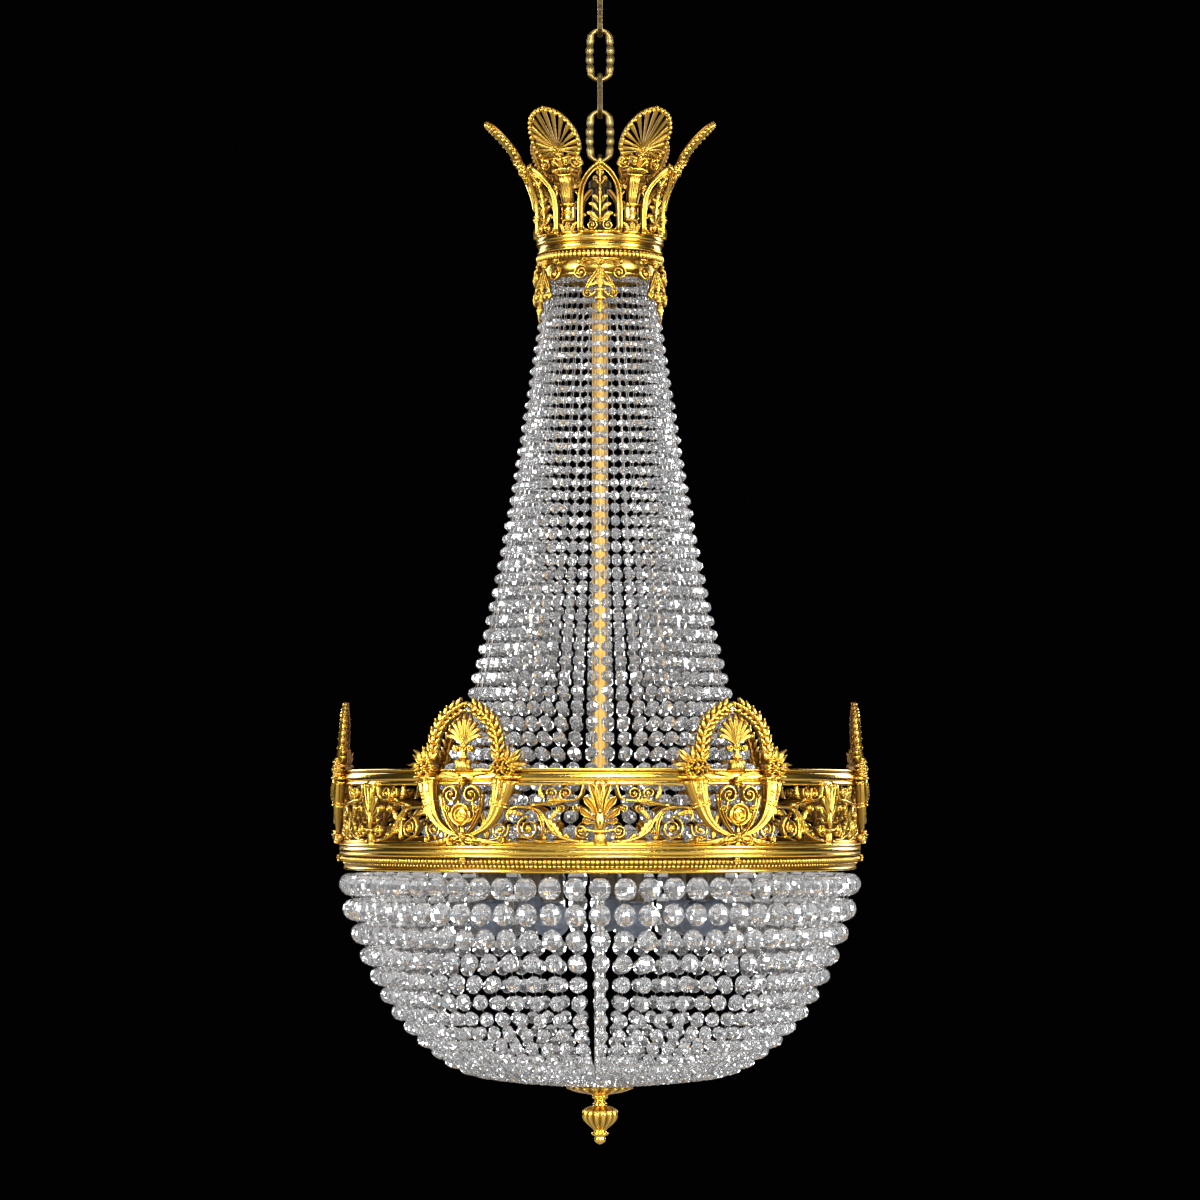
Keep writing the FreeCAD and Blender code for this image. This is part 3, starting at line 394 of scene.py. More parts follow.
def flow(start, heading, *bends):
    """A line from a start along tangent bends, each a length and the degrees it turns to the left."""
    spot = np.array(start, float)
    angle = math.radians(heading)
    spots = [spot[None]]
    for length, turn in bends:
        steps = max(2, math.ceil(abs(turn) / 14), math.ceil(length / 7))
        middle = angle + math.radians(turn) * (np.arange(steps) + 0.5) / steps
        spots.append(spot + np.cumsum(np.stack([np.cos(middle), np.sin(middle)], 1), 0) * length / steps)
        spot = spots[-1][-1]
        angle += math.radians(turn)
    return np.concatenate(spots)


def directions(path):
    """Unit tangents and left normals of a flat line, and each point's share of its length."""
    step = np.gradient(path, axis=0)
    tangent = step / np.linalg.norm(step, axis=1, keepdims=True)
    gone = lengths(path)
    return tangent, np.stack([-tangent[:, 1], tangent[:, 0]], 1), gone / gone[-1]


def spread(share, values):
    """Values, or a single one, spread evenly over a length and read at each share of it."""
    values = np.atleast_1d(values)
    return np.interp(share, np.linspace(0, 1, len(values)), values)


def smooth_line(stations, count):
    """A smooth line through stations: each span is a cubic whose end slopes point between neighbours."""
    spots = np.array(stations, float)
    padded = np.concatenate([[2 * spots[0] - spots[1]], spots, [2 * spots[-1] - spots[-2]]])
    span = np.linspace(0, len(spots) - 1, count)
    first = np.minimum(span.astype(int), len(spots) - 2)
    t = (span - first)[:, None]
    a, b, c, d = (padded[first + shift] for shift in range(4))
    return b + 0.5 * ((c - a) * t + (2 * a - 5 * b + 4 * c - d) * t ** 2 + (3 * b - a - 3 * c + d) * t ** 3)


# %% Straps, leaves and scrolls


def strap(casting, path, widths, heights, section=ROUND, rake=0.0, scallops=0, back=None):
    """Carry a section along a line. Its width and height follow the lists given, its back lies at w = back,
    scallops cut the edge into lobes, and rake pushes the edges forward."""
    back = casting.back if back is None else back
    tangent, normal, share = directions(path)
    half = 0.5 * spread(share, widths)
    if scallops:
        half = half * (0.58 + 0.42 * np.abs(np.sin(math.pi * scallops * share)) ** 0.7)
    half = (half[:, None] * section[:, 0])[..., None]
    flat = path[:, None] + normal[:, None] * half + tangent[:, None] * rake * abs(half)
    out = back + (spread(share, heights) - back)[:, None] * section[:, 1]
    # the section's height is also the relief: the gilt paints shade along the strap's edges and back
    casting.tube(np.concatenate([flat, out[..., None]], -1), section[:, 1])


def acanthus(casting, path, width, height, lobes):
    """A leaf with a rib and a lobed edge along a line."""
    widths = width * np.array([0.5, 1.0, 0.95, 0.7, 0.1])
    strap(casting, even(path, 6 * lobes + 1), widths, height * np.array([0.7, 1, 1, 0.5]), RIDGE, 0.5, lobes)


def petal(casting, path, width, height, section=CHANNEL):
    """A petal that widens to a round end."""
    widths = width * np.array([0.3, 0.5, 0.75, 0.95, 1.0, 0.35])
    strap(casting, even(path, 11), widths, height * np.array([0.5, 0.8, 1.0, 0.9]), section)


def button(casting, middle, radius, height, petals=0, sides=16, back=None):
    """A boss on a polar grid. With petals its rim and its height wave round the middle."""
    back = casting.back if back is None else back
    turn = np.linspace(0, 2 * math.pi, max(sides, 6 * petals), endpoint=False)
    reach = np.array([[1.0, 1.0, 0.88, 0.62, 0.34, 0.22, 0.06]]).T
    up = [0.0, 0.5, 0.8, 0.95, 0.72, 0.9, 1.0] if petals else [0.0, 0.4, 0.66, 0.86, 0.96, 0.99, 1.0]
    wave = (0.5 - 0.5 * np.cos(petals * turn)) * (reach > 0.3)
    out_to = reach * (1 - 0.22 * wave) * radius
    rise = np.array([up]).T * (1 - 0.45 * wave)
    flat = np.stack([out_to * np.cos(turn), out_to * np.sin(turn)], -1) + np.array(middle)
    # the rise is also the relief: the gilt paints shade round the foot of the boss
    casting.tube(np.concatenate([flat, (back + (height - back) * rise)[..., None]], -1), rise)


def volute(casting, middle, radius, start, turns, width, height, back=None):
    """A spiral strap that winds in to an eye. Positive turns wind to the left."""
    share = np.linspace(0, 1, int(abs(turns) * 18) + 3)
    reach = (radius - 0.5 * width) * (1 - 0.74 * share)
    angle = math.radians(start) + 2 * math.pi * turns * share
    path = np.stack([middle[0] + reach * np.cos(angle), middle[1] + reach * np.sin(angle)], 1)
    strap(casting, path, (width, 0.9 * width, 0.6 * width), (height, 1.1 * height), back=back)
    button(casting, middle, 0.24 * radius, 1.25 * height, sides=10, back=back)


def bar(casting, up, reach, width, height):
    """A round bar across the middle."""
    strap(casting, line((-reach, up), (reach, up)), width, height)


def shaft(casting, foot, head, widths, heights, section=ROUND):
    """A strap along the middle."""
    strap(casting, line((0, foot), (0, head)), widths, heights, section)


def each(tool, casting, *measures):
    """Use a tool once for every set of measures."""
    for measure in measures:
        tool(casting, *measure)


# %% [markdown]
# ## Turned rings
#
# The rings are spun and turned in a lathe, then their bead rows are rolled in with a knurl. A lathe
# surface is a closed section swept round the stem. A bead row is the same sweep with a radius that swells
# once for every bead, as the square root of 1 minus the square of the distance from the bead's middle.

# %% Lathe work


def turned(casting, outside, top, corners, steps=180):
    """Turn a closed section. Each corner is how far it lies inside the radius and below the top, and its
    relief, which sets how much painted shade it takes in the gilt."""
    inset, drop, relief = np.array(corners).T
    turn = np.linspace(0, 2 * math.pi, steps, endpoint=False)[:, None]
    casting.add(revolve(outside - inset, top - drop, turn), quads(steps, len(corners), True, True), relief)


def moulding(inset, low, high, bulge, count, relief=1.0):
    """Corners of a half-round moulding between two drops below the top."""
    return [(inset - bulge * math.sin(a), 0.5 * (low + high + (low - high) * math.cos(a)), relief)
            for a in np.linspace(0, math.pi, count + 2)[1:-1]]


def bead_row(casting, radius, height, size, count, samples=8):
    """A row of half-round beads round the stem, as tall as size and as deep as half the smaller way."""
    turn = np.linspace(0, 2 * math.pi, count * samples, endpoint=False)[:, None]
    across = np.arange(count * samples)[:, None] % samples / samples * 2 - 1
    swell = np.sqrt(1 - across ** 2)
    around = np.linspace(-0.5, 0.5, 7) * math.pi
    reach = radius + 0.55 * min(size, 2 * math.pi * radius / count) * swell * np.cos(around)
    rise = height + 0.5 * size * (0.2 + 0.8 * swell) * np.sin(around)
    faces = quads(count * samples, 7, True, True)
    # relief falls to 0 between the beads and at their top and foot: painted shade round each bead
    casting.add(revolve(reach, rise, turn), faces, swell * np.cos(around) ** 0.5)


# %% [markdown]
# The upper rim is a thin lip over a groove, painted dark as shade, and a long convex band. The lower rim
# has a flat band with two fine grooves, a small moulding, two bead rows and a lip that carries the pins of
# the bowl's strands. Corners with relief 0 paint shade into the grooves.

# %% Upper and lower rim
rim_low, rim_high = corners("upper_rim")
ring_radius, _, top = rim_high
tall = top - rim_low[2]
rim = Casting()
# corners with relief 0 paint shade into the groove under the lip
turned(rim, ring_radius, top, [(14.0, tall, 0.4), (1.5, tall, 0.6)] + moulding(1.5, tall - 0.5, 4.6, 2.0, 7)
       + [(2.6, 4.2, 0), (2.6, 3.2, 0)] + moulding(0.8, 3.0, 0.0, 0.9, 3) + [(1.5, 0, 0.7), (14.0, 0, 0.4)])
write_piece("upper_rim_turned", rim, "upper_rim")

rim_low, rim_high = corners("lower_rim")
rim_outside, _, top = rim_high
rim_foot = rim_low[2]
tall = top - rim_foot
rim = Casting()
# corners with relief 0 paint shade into the grooves
turned(rim, rim_outside, top, [(17.5, tall, 0.4), (7.0, tall, 0.8)] + moulding(7.0, tall, 28.2, 1.3, 4, 0.95)
       + [(8.0, 27.6, 0), (8.0, 26.2, 0), (5.5, 25.8, 0.4), (5.5, 15.2, 0.1), (2.4, 14.8, 0.3)]
       + moulding(2.2, 14.4, 11.0, 1.8, 4)
       + [(1.6, 10.6, 0), (0.5, 10.1, 1), (0.5, 4.6, 1), (1.4, 4.3, 0), (1.4, 3.7, 0), (0, 3.3, 1),
          (0, 0.6, 1), (0.8, 0, 0.8), (17.5, 0, 0.4)])
for inset, drop, size in ((4.4, 19.2, 6.2), (7.4, 24.6, 4.4)):
    bead_row(rim, rim_outside - inset, top - drop, size, count=354)
write_piece("lower_rim_turned", rim, "lower_rim")
print("rims:", round(2 * ring_radius), "mm across")

# %% [markdown]
# The crown ring steps out in flat bands above a row of large beads, and a plain bright band below carries
# the hooks of the tent.

# %% Crown ring
crown_low, crown_high = corners("crown_ring")
crown_radius, _, crown_top = crown_high
tall = crown_top - crown_low[2]
ring = Casting()
# corners with relief 0 paint shade into the grooves
turned(ring, crown_radius, crown_top,
       [(13, tall, 0.4), (10, tall, 0.9), (9, tall - 0.8, 1), (9.4, tall - 2.5, 1), (10, tall - 3, 0.7),
        (10, 33, 0.9), (7, 31.5, 0.4), (4.5, 30, 0.3), (4.5, 20, 0.1)] + moulding(3.0, 19.8, 16.6, 2.0, 4)
       + [(3.5, 16, 0.3), (3, 15.5, 1), (3, 10.5, 1), (4.2, 10, 0), (4.2, 9, 0)]
       + moulding(1.8, 8.8, 6, 1.4, 4)
       + [(1.8, 5.5, 0.2), (0.4, 5, 1), (0.4, 0.6, 1), (1.2, 0, 0.9), (13, 0, 0.4)])
bead_row(ring, crown_radius - 3.0, crown_top - 25.4, 9.4, count=84, samples=10)
write_piece("crown_ring_turned", ring, "crown_ring")

# %% [markdown]
# ## The crown
#
# Each ornament is drawn for its right half only, and taken into the casting twice, once mirrored. An arch
# stands on the ring at the front and every sixth of a turn from there: a channelled band round a little
# tree with curled leaves, with a flower above it and scrolls at its foot. The numbers are millimetres on
# the drawing, read off the photograph at the crown's scale.

# %% Crown arches
FLARE = 30


def flared_wall(height, lean, power):
    """An upright wall that bends outwards above the flare as a power of the height, by lean at its top."""
    heights = np.concatenate([[-5, 0], np.linspace(FLARE, height, 14)])
    over = np.clip(heights - FLARE, 0, None) / (height - FLARE)
    return Wall(crown_top, heights, crown_radius + lean * over ** power)


def draw_arch():
    whole, half = Casting(-2.6), Casting(-2.6)
    strap(half, flow((24.6, 2), 90, (44, 2), (14, 18), (16, 22), (15, 17)), (5.2, 5.6, 5.6, 5.6, 5.2),
          (2.6, 3.2, 3.4), CHANNEL)
    strap(half, line((-0.5, 1.6), (27, 1.6)), 3.2, 1.6)
    strap(half, flow((26.5, 45), 70, (8, -20)), (1.6, 2.4), 2)
    # scrolls: middle, radius, start, turns, width, height
    each(volute, half, ((30.2, 56.5), 3.6, -150, -1.3, 1.8, 2.6), ((9.8, 9.2), 7.8, 95, 1.5, 2.2, 3.2),
         ((19.6, 21.5), 3, 0, 1.2, 1.4, 2.2), ((6, 66), 3.4, -60, 1.4, 1.6, 2.6))
    strap(half, flow((9, 2), 0, (9, 24), (6, 60)), (1.6, 2.2, 1.2), 2)
    strap(half, flow((2, 14), 12, (9, 34), (8, 50)), (2.4, 3.4, 2, 1), (2.4, 2.8, 1.6), RIDGE)
    # the little tree: leaves that curl over to the side
    for low, heading, length, width in ((16, 24, 18, 6.4), (26, 34, 16.5, 6.2), (36, 44, 13, 5.4)):
        leaf = flow((0.6, low), heading, (0.62 * length, 26), (0.38 * length, -84))
        strap(half, even(leaf, 13), (1, 0.5 * width, width, 0.9 * width, 0.4 * width), (1.4, 3, 4.2, 3.4),
              RIDGE, 0.4)
    # the flower at the top
    strap(half, flow((0.6, 59), 40, (8, 20)), (1.4, 2.2, 1.6), 2.4)
    petal(half, flow((0.8, 69), 38, (6, 40)), 3.2, 2.6, RIDGE)
    whole.take(half, 1, -1)
    shaft(whole, 10, 78, (3, 2.2, 2), 2)
    petal(whole, line((0, 42), (0, 52)), 4.4, 3.4, RIDGE)
    button(whole, (0, 54.5), 2.2, 2.8, sides=10)
    each(button, whole, ((0, 76.5), 4.2, 3.6, 5), ((0, 85.2), 3.4, 3.4))
    return whole


arch_wall = flared_wall(corners("crown_arch_1")[1][2] - crown_top, 21.7, 2)
cast_six("crown_arch", draw_arch(), arch_wall, 0)

# %% [markdown]
# A palmette stands between two arches: an acanthus foot, a block with a rosette, a fluted shaft, a curled
# capital, and a pierced fan of fifteen ribs that leans far outwards. A border with a row of small knobs
# joins the tips and curls in at the bottom. The border is a smooth line through the tips themselves, so
# it fits any fan.

# %% Crown palmettes
HALF_FAN = 8
FAN_ROOT = 101


def draw_palmette():
    whole, half = Casting(-4), Casting(-4)
    acanthus(half, flow((5.5, 1), 80, (10, -25), (5, -50)), 7, 3.6, 4)
    # capital: two curls over a ring of small leaves
    volute(half, (8, 86.5), 4.4, 150, -1.5, 2, 4.4)
    strap(half, flow((1.5, 80), 62, (9, -10), (5, -60)), (2, 3, 2), 4)
    for across, lean in ((3.4, -6), (7.6, -18), (11, -34)):
        petal(half, flow((0.86 * across, 73.6), 90 + lean, (6.5, lean)), 4.6, 4.2, RIDGE)
    # fan: the first rib stands upright in the middle
    angles = np.linspace(0, 105, HALF_FAN)
    reaches = np.interp(angles, (0, 30, 60, 90, 105), (46, 43, 35.5, 29.5, 25.5))
    tips = []
    for turn, reach in zip(angles, reaches):
        rib = flow((0, FAN_ROOT), 90 - 0.95 * turn, (reach, -0.1 * turn))
        strap(half if turn else whole, even(rib, 12), (1.2, 1.3, 1.8, 3, 4.8, 5.6), (2.6, 2.4, 2.6, 2.2),
              RIDGE, back=-2)
        tips.append(rib[-1])
    edge = even(smooth_line(tips + [(26.5, 86)], 60), 30)
    strap(half, edge, 3.4, 1.4, back=-2.4)
    for spot in even(edge, 15)[1:]:
        button(half, spot, 2.5, 4.6, sides=8, back=-1)
    volute(half, (20.8, 87), 8.8, -20, -1.5, 3.6, 5, -3)
    strap(half, flow((3, 91), 12, (9, -14), (6, -30)), (4, 3, 2.4), (3.4, 2.6), back=-3)
    whole.take(half, 1, -1)
    button(whole, tips[0], 3, 3.8, sides=10, back=-1)
    petal(whole, line((0, 90), (0, 105)), 7, 5, RIDGE)
    acanthus(whole, line((0, 1), (0, 15)), 10, 4.2, 5)
    each(button, whole, ((0, 97), 6.4, 5.2, 7), ((0, 25.5), 5.6, 4.4, 6))
    # block, shaft and neck: foot, head, widths, heights. The bars between them: level, reach, width, height
    each(shaft, whole, (15.5, 35.5, 18, 1.4, BLOCK), (37, 71, (14, 19.5), (3.4, 4), FLUTED),
         (79, 92, (9, 7, 9), 4, FLUTED))
    each(bar, whole, (1.6, 10.4, 3.2, 2.2), (36.4, 9.6, 2.4, 2.6), (72.2, 10.8, 2.8, 4.2),
         (79.6, 12.2, 2.4, 4.4))
    return whole


palmette_wall = flared_wall(corners("crown_palmette_1")[1][2] - crown_top, 63, 1.75)
cast_six("crown_palmette", draw_palmette(), palmette_wall, 0.5 * PANEL_ANGLE)

# %% [markdown]
# A pendant of straps and scrolls hangs under the bead row below each arch, and ends in a leafy tassel.

# %% Crown pendants


def draw_pendant():
    whole, half = Casting(-2.2), Casting(-2.2)
    strap(half, flow((2, -7), 25, (11, -10), (10, -55)), (2.4, 3.6, 3), 2.4, CHANNEL)
    strap(half, flow((1.5, -15), -62, (15, 10), (18, -24)), (3, 4.4, 3), 2.4, CHANNEL)
    strap(half, flow((5, -44), -30, (8, -30)), (2, 3, 2), 2.2)
    each(volute, half, ((23, -20), 10.4, 110, -1.6, 2.6, 3.2), ((15, -46), 6.8, 40, -1.4, 2, 2.8))
    acanthus(half, flow((3, -30), -55, (9, 40), (6, 30)), 5.5, 2.8, 4)
    petal(half, flow((1.5, -56), -70, (10, -20)), 4, 2.6, RIDGE)
    button(half, (27, -6), 2.6, 2.4, sides=10)
    whole.take(half, 1, -1)
    button(whole, (0, -5.5), 6, 4.2, 6)
    each(acanthus, whole, (line((0, -12), (0, -40)), 13, 3.4, 6), (line((0, -53), (0, -70.5)), 9, 3.4, 5))
    shaft(whole, -43, -52, (9, 6, 11), 2.8, FLUTED)
    each(bar, whole, (-2, 26, 3.4, 1.2), (-42, 6.5, 3.4, 3), (-52.5, 6, 3, 3.2))
    return whole


pendant_wall = Wall(crown_top - 30, (-75, 0), (crown_radius + 8.2, crown_radius - 1.5))
cast_six("crown_pendant", draw_pendant(), pendant_wall, 0)

# %% [markdown]
# ## The pierced frieze
#
# A panel runs between two thin rails. In its middle an anthemion opens from an egg-shaped bud on a small
# vase. A vine leaves the vase on each side, rises in an S, and throws off leaves, tendrils and spirals.

# %% Frieze panels
frieze_low, frieze_high = corners("frieze_panel_1")
FRIEZE_HEIGHT = frieze_high[2] - frieze_low[2]
RAIL = 4.5


def draw_frieze():
    whole, half = Casting(-3.6), Casting(-3.6)
    end = ring_radius * math.sin(math.radians(0.5 * PANEL_ANGLE))
    for middle in (0.5 * RAIL, FRIEZE_HEIGHT - 0.5 * RAIL):
        strap(half, even(np.array([(0, middle), (end, middle)]), 16), RAIL, 0, BLOCK)
    # anthemion: line, width, height
    each(petal, half, (flow((2, 38), 84, (20, -6), (17, -22)), 10.4, 3.4),
         (flow((4, 35), 66, (13, -4), (14, -30)), 9.6, 3.2),
         (flow((5, 31), 34, (11, -8), (11, 34)), 8.4, 3), (flow((5.5, 27), 6, (8, 0), (8, 40)), 6.2, 2.6))
    # the vine, and the upper scroll back to the anthemion
    vine = flow((20, 5.4), -4, (28, 30), (25, 46), (23, -60), (19, -12), (13, -60), (11, -80))
    upper = flow((82, 47), 168, (26, 4), (24, 6), (15, -74), (12, -8))
    each(strap, half, (vine, (3.6, 4, 4.4, 4.6, 4.2, 3.8, 3), (2.8, 3.4, 3.4, 2, 0.2)),
         (upper, (4.4, 4.8, 4.2, 3.8, 3), 3),
         (flow((6, 17), 5, (8, 10), (8, -20)), (4.4, 3.6, 3), 2.8),
         (flow((34, 5.6), 72, (8, -50), (3, -70)), (1.8, 2), 1.6),
         (flow((79, 43), -150, (12, 34), (18, 26), (9, 40)), (2.4, 3.4, 4.4, 3.4), 2, CHANNEL),
         (flow((70, 4.6), 8, (14, 14), (12, -30)), (1.6, 2.6, 1.6), 1.4))
    # leaves: line, width, height, lobes. The last one lies behind the cartouche
    each(acanthus, half, (flow((45, 10), 40, (14, 20), (16, -40), (8, -50)), 11, 2.6, 6),
         (flow((58, 30), 110, (9, 20), (8, 50)), 7.5, 2.4, 4),
         (flow((66, 48.5), 160, (14, 8), (14, 20)), 10, 2.6, 6),
         (flow((66, 55), 50, (9, 20), (8, 50)), 7, 2.2, 4),
         (flow((92, 36), 30, (10, -20), (10, -60)), 8, 1.2, 4),
         (flow((134, 8), 80, (22, -10), (20, 20)), 10, 0, 6))
    # spirals and tendrils that fill the field, the last two behind the cartouche
    each(volute, half, ((22, 17.4), 9.6, 200, 1.6, 2.8, 3.4), ((40, 61.6), 9.4, -100, 1.5, 2.6, 3.4),
         ((57.8, 62), 8.4, -80, -1.5, 2.4, 3.2), ((58.5, 17), 6.6, -30, 1.5, 2, 2.6),
         ((46, 44), 6.2, 20, -1.5, 2, 2.6), ((28.5, 44.5), 5.4, 160, 1.5, 1.8, 2.4),
         ((84.6, 20.5), 15.4, 95, -1.75, 3.2, 3.4), ((121, 50), 13.5, 180, -1.6, 2.8, 0),
         ((119, 19), 12.5, 150, 1.6, 2.8, 0))
    button(half, (84.6, 20.5), 4.4, 4.6, 6)
    for middle, radius in (((40.2, 12.2), 3), ((65.5, 9.4), 3.2)):
        button(half, middle, radius, 2.4, sides=10)
    # behind the cartouche too
    strap(half, flow((104, 6), 20, (20, -30), (16, 10)), (2, 3, 2), 0)
    strap(half, line((152, 3), (152, 73)), (3, 5, 3), 0)
    whole.take(half, 1, -1)
    petal(whole, flow((0, 40), 90, (33.5, 0)), 12.5, 2.8)
    shaft(whole, 43, 19, (6, 11, 12.5, 10, 5), (2, 4, 4.4, 3))
    bar(whole, 16.8, 7.6, 4.4, 3)
    shaft(whole, 15, 2, (8, 15.5, 11, 14), (2.4, 3, 2), FLUTED)
    return whole


frieze_wall = Wall(frieze_low[2], (0, FRIEZE_HEIGHT), (ring_radius, ring_radius))
cast_six("frieze_panel", draw_frieze(), frieze_wall, 0)

# %% [markdown]
# ## The cartouches
#
# A cartouche is screwed on over each joint of the frieze. Two horns of plenty rise from a ribbon knot,
# their mouths full of flowers, and a laurel wreath springs from the flowers over a small palmette. The
# laurel is a loop over leaves in threes; the horns are straps whose width and height grow towards the
# mouth.

# %% Laurel, flowers and horns


def laurel(casting, path, stations, length, width, height, back):
    """Leaves in threes along a line, each pointing on along it and rising over the next leaf's foot."""
    spots = even(path, stations)
    for spot, way in zip(spots, directions(spots)[0]):
        heading = math.degrees(math.atan2(way[1], way[0]))
        for lean, rise in ((-52, 0.7), (52, 0.7), (0, 1.2)):
            leaf = flow(spot, heading + lean, (length, -0.7 * lean))
            strap(casting, even(leaf, 6), width * np.array([0.2, 0.85, 1, 0.75, 0.08]),
                  height * np.array([-0.5, 0.7 * rise, rise, 0.8 * rise]), BLADE, back=back)


def spray(casting, middle, start, headings, length, width, height):
    """Pointed leaves that stand out round a middle, from start onwards, every second one longer."""
    for number, heading in enumerate(headings):
        way = np.array([math.cos(math.radians(heading)), math.sin(math.radians(heading))])
        long = length * (1 + 0.22 * (number % 2))
        leaf = flow(np.array(middle) + way * start, heading, (long, 16 * (-1) ** number))
        strap(casting, even(leaf, 7), width * np.array([0.4, 1, 1, 0.7, 0.08]),
              height * np.array([0.8, 1, 0.7]), RIDGE)


def bouquet(casting, u, v, height):
    """Flowers and berries heaped over a horn's mouth, with pointed leaves round them."""
    spray(casting, (u + 2, v + 3), 8, (-14, 8, 30, 52, 78, 140), 15.5, 5.6, height)
    flowers = ((0, 0, 7.2, 6), (11.5, 1, 5.8, 4), (-11, 0.5, 5.8, 4.4), (5.5, 9.5, 5.6, 4.6),
               (-6, 9, 5.4, 4.2), (6, -8, 5.2, 4.2), (-6, -8, 5.2, 4))
    for across, up, size, rise in flowers:
        button(casting, (u + across, v + up), size, height + rise, 5)
    for turn in np.radians(np.arange(9) * 40 + 8):
        button(casting, (u + 12.8 * math.cos(turn), v + 10.2 * math.sin(turn)), 2.3, height + 3, sides=8)


# %% Cartouches
FAN_SIDE = 56


def draw_cartouche():
    whole, half = Casting(-5.6), Casting(-5.6)
    wreath = flow((47.5, 99), 94, (26, 8), (21, 24), (21, 22), (20, 18))
    strap(half, wreath, 4, -2.5)
    laurel(half, wreath[:-2], 9, 16, 7.6, 3, -4.4)
    # the horn, the rings round it and the leaf on its side
    horn = flow((7, 12), 8, (26, 30), (26, 32), (36, 14))
    strap(half, even(horn, 22), (5, 7, 11, 16, 21, 27, 34), (0, 1.5, 3, 5, 6.5, 7, 7), FLUTED)
    rings = (((38.5, 50), (60.5, 44.5), 4.4, 8.2), ((36.5, 53.8), (60.5, 48.3), 2.2, 7.4),
             ((34.5, 79), (75, 81), 6, 10), ((37, 73), (72.5, 75), 2.8, 8.8))
    for low, high, width, rise in rings:
        strap(half, line(low, high), (0.7 * width, width, width, 0.7 * width),
              (-3, 0.85 * rise, rise, 0.85 * rise, -3))
    leaf = flow((50.5, 53), 80, (20, 8))
    strap(half, even(leaf, 19), (12, 17, 15, 7, 2), (8.6, 9.8, 9.6, 8.6), RIDGE, 0.6, 4)
    bouquet(half, 53.5, 91, 3)
    # tail, the strap that runs with the horn, and the ribbon
    each(acanthus, half, (flow((5, 9), -6, (22, -6), (22, 14)), 7.5, 1.5, 6),
         (flow((5, 83), 4, (13, 8), (14, -16)), 6.5, 1.6, 6))
    each(strap, half, (flow((6, 13.5), 42, (53, 48)), (2.6, 4, 4.2, 3.8), (1.6, 2.4, 2.6), CHANNEL),
         (flow((3, 25), 10, (14, 40), (8, 50)), (2.2, 3, 2.2), 2),
         (flow((4, 10), 24, (10, -44), (8, -88), (5, -90)), (3.8, 5.2, 4, 2.4), (3.6, 4), CHANNEL),
         (flow((5, 7), -36, (9, 46), (10, -50), (9, 60)), (3.4, 4.4, 3.6, 2.4), (3.2, 2.6), CHANNEL),
         (flow((1, 111), 40, (8, 24)), (2, 2.8), 1.2))
    # the tail's curl, the two scrolls between the horns, and the foot of the inner palmette
    each(volute, half, ((50.5, 7.5), 5.4, -100, 1.5, 2.2, 0.8), ((13.9, 60), 12.8, 0, 1.5, 3.4, 4),
         ((20.2, 42.6), 6, -10, 1.5, 2, 2.4), ((9.6, 115.4), 5, 60, -1.6, 2.2, 1.2))
    petal(half, flow((3.5, 95), 24, (9, 40)), 5, 2.2, RIDGE)
    whole.take(half, 1, -1)
    for turn in np.linspace(-FAN_SIDE, FAN_SIDE, 9):
        share = abs(turn) / FAN_SIDE
        side = -1 if turn > 0 else 1
        rib = flow((0, 119), 90 - turn, (0.6 * (38.5 - 13 * share ** 1.4), 0), (9, 44 * side * share))
        strap(whole, even(rib, 11), (1.4, 1.8, 2.8, 4.2, 5, 4.6), (0.8, 1.4, 2.2, 2.8), RIDGE, back=-4.6)
        button(whole, rib[-1], 2.8, 3.2, sides=8, back=-4.6)
    bar(whole, 104.5, 6, 3.2, 3.2)
    each(shaft, whole, (117, 104, (7, 5, 9), 1.6, FLUTED), (82, 66, (2.6, 3.6, 2.6), 0.5),
         (89, 103.5, (25, 23, 19, 11), (3, 4.6, 4.4, 2), FLUTED),
         (24, 6, (3, 6, 9), (1, 3), FLUTED))
    # bosses, with the medallion and its rings in the middle and the knot at the foot
    each(button, whole, ((0, 118), 4.4, 3.6), ((0, 74), 4.6, 3.2, 5), ((0, 36.5), 13, 1.6),
         ((0, 36.5), 4.2, 5.6, 6), ((0, 10), 6.4, 7, 4), ((0, 168), 3, 2))
    for radius, width in ((12.4, 2.8), (7.6, 2)):
        strap(whole, flow((0, 36.5 - radius), 0, (2 * math.pi * radius, 360)), width, 4.6)
    return whole


cartouche_wall = Wall(corners("cartouche_1")[0][2], (0, 93, 179),
                      (ring_radius + 6.3, ring_radius + 6.3, ring_radius - 3))
cast_six("cartouche", draw_cartouche(), cartouche_wall, 0.5 * PANEL_ANGLE)

# %% [markdown]
# Small rosettes are pinned on the lower rim's bead row, one under each cartouche.

# %% Rim rosettes
rosette_low, rosette_high = corners("rim_rosettes")
rosette_wall = Wall(0.5 * (rosette_low[2] + rosette_high[2]), (-10, 10), [ring_radius + 3.2] * 2)
flower, rosettes = Casting(-1), Casting()
button(flower, (0, 0), 5, 4, 6)
placed = []
for index in range(ORNAMENTS):
    rosettes.take(flower, 1)
    placed.append(rosette_wall.place(flower.all_points(), (index + 0.5) * PANEL_ANGLE))
write_piece("rim_rosettes_chased", rosettes, "rim_rosettes", np.concatenate(placed))

# %% [markdown]
# ## Cut beads
#
# A strand is a wire with cut beads that grow towards its wide end. A bead of long upright facets between
# rings of corners is only a few dozen faces, so thousands of them stay light. The middle of each bead,
# its size, its turn about the wire and a little disorder are arrays, and one matrix product per strand
# places every corner of every bead.

# %% Bead and strand
WIRE_RADIUS = 0.45
UP = np.array([0, 0, 1])


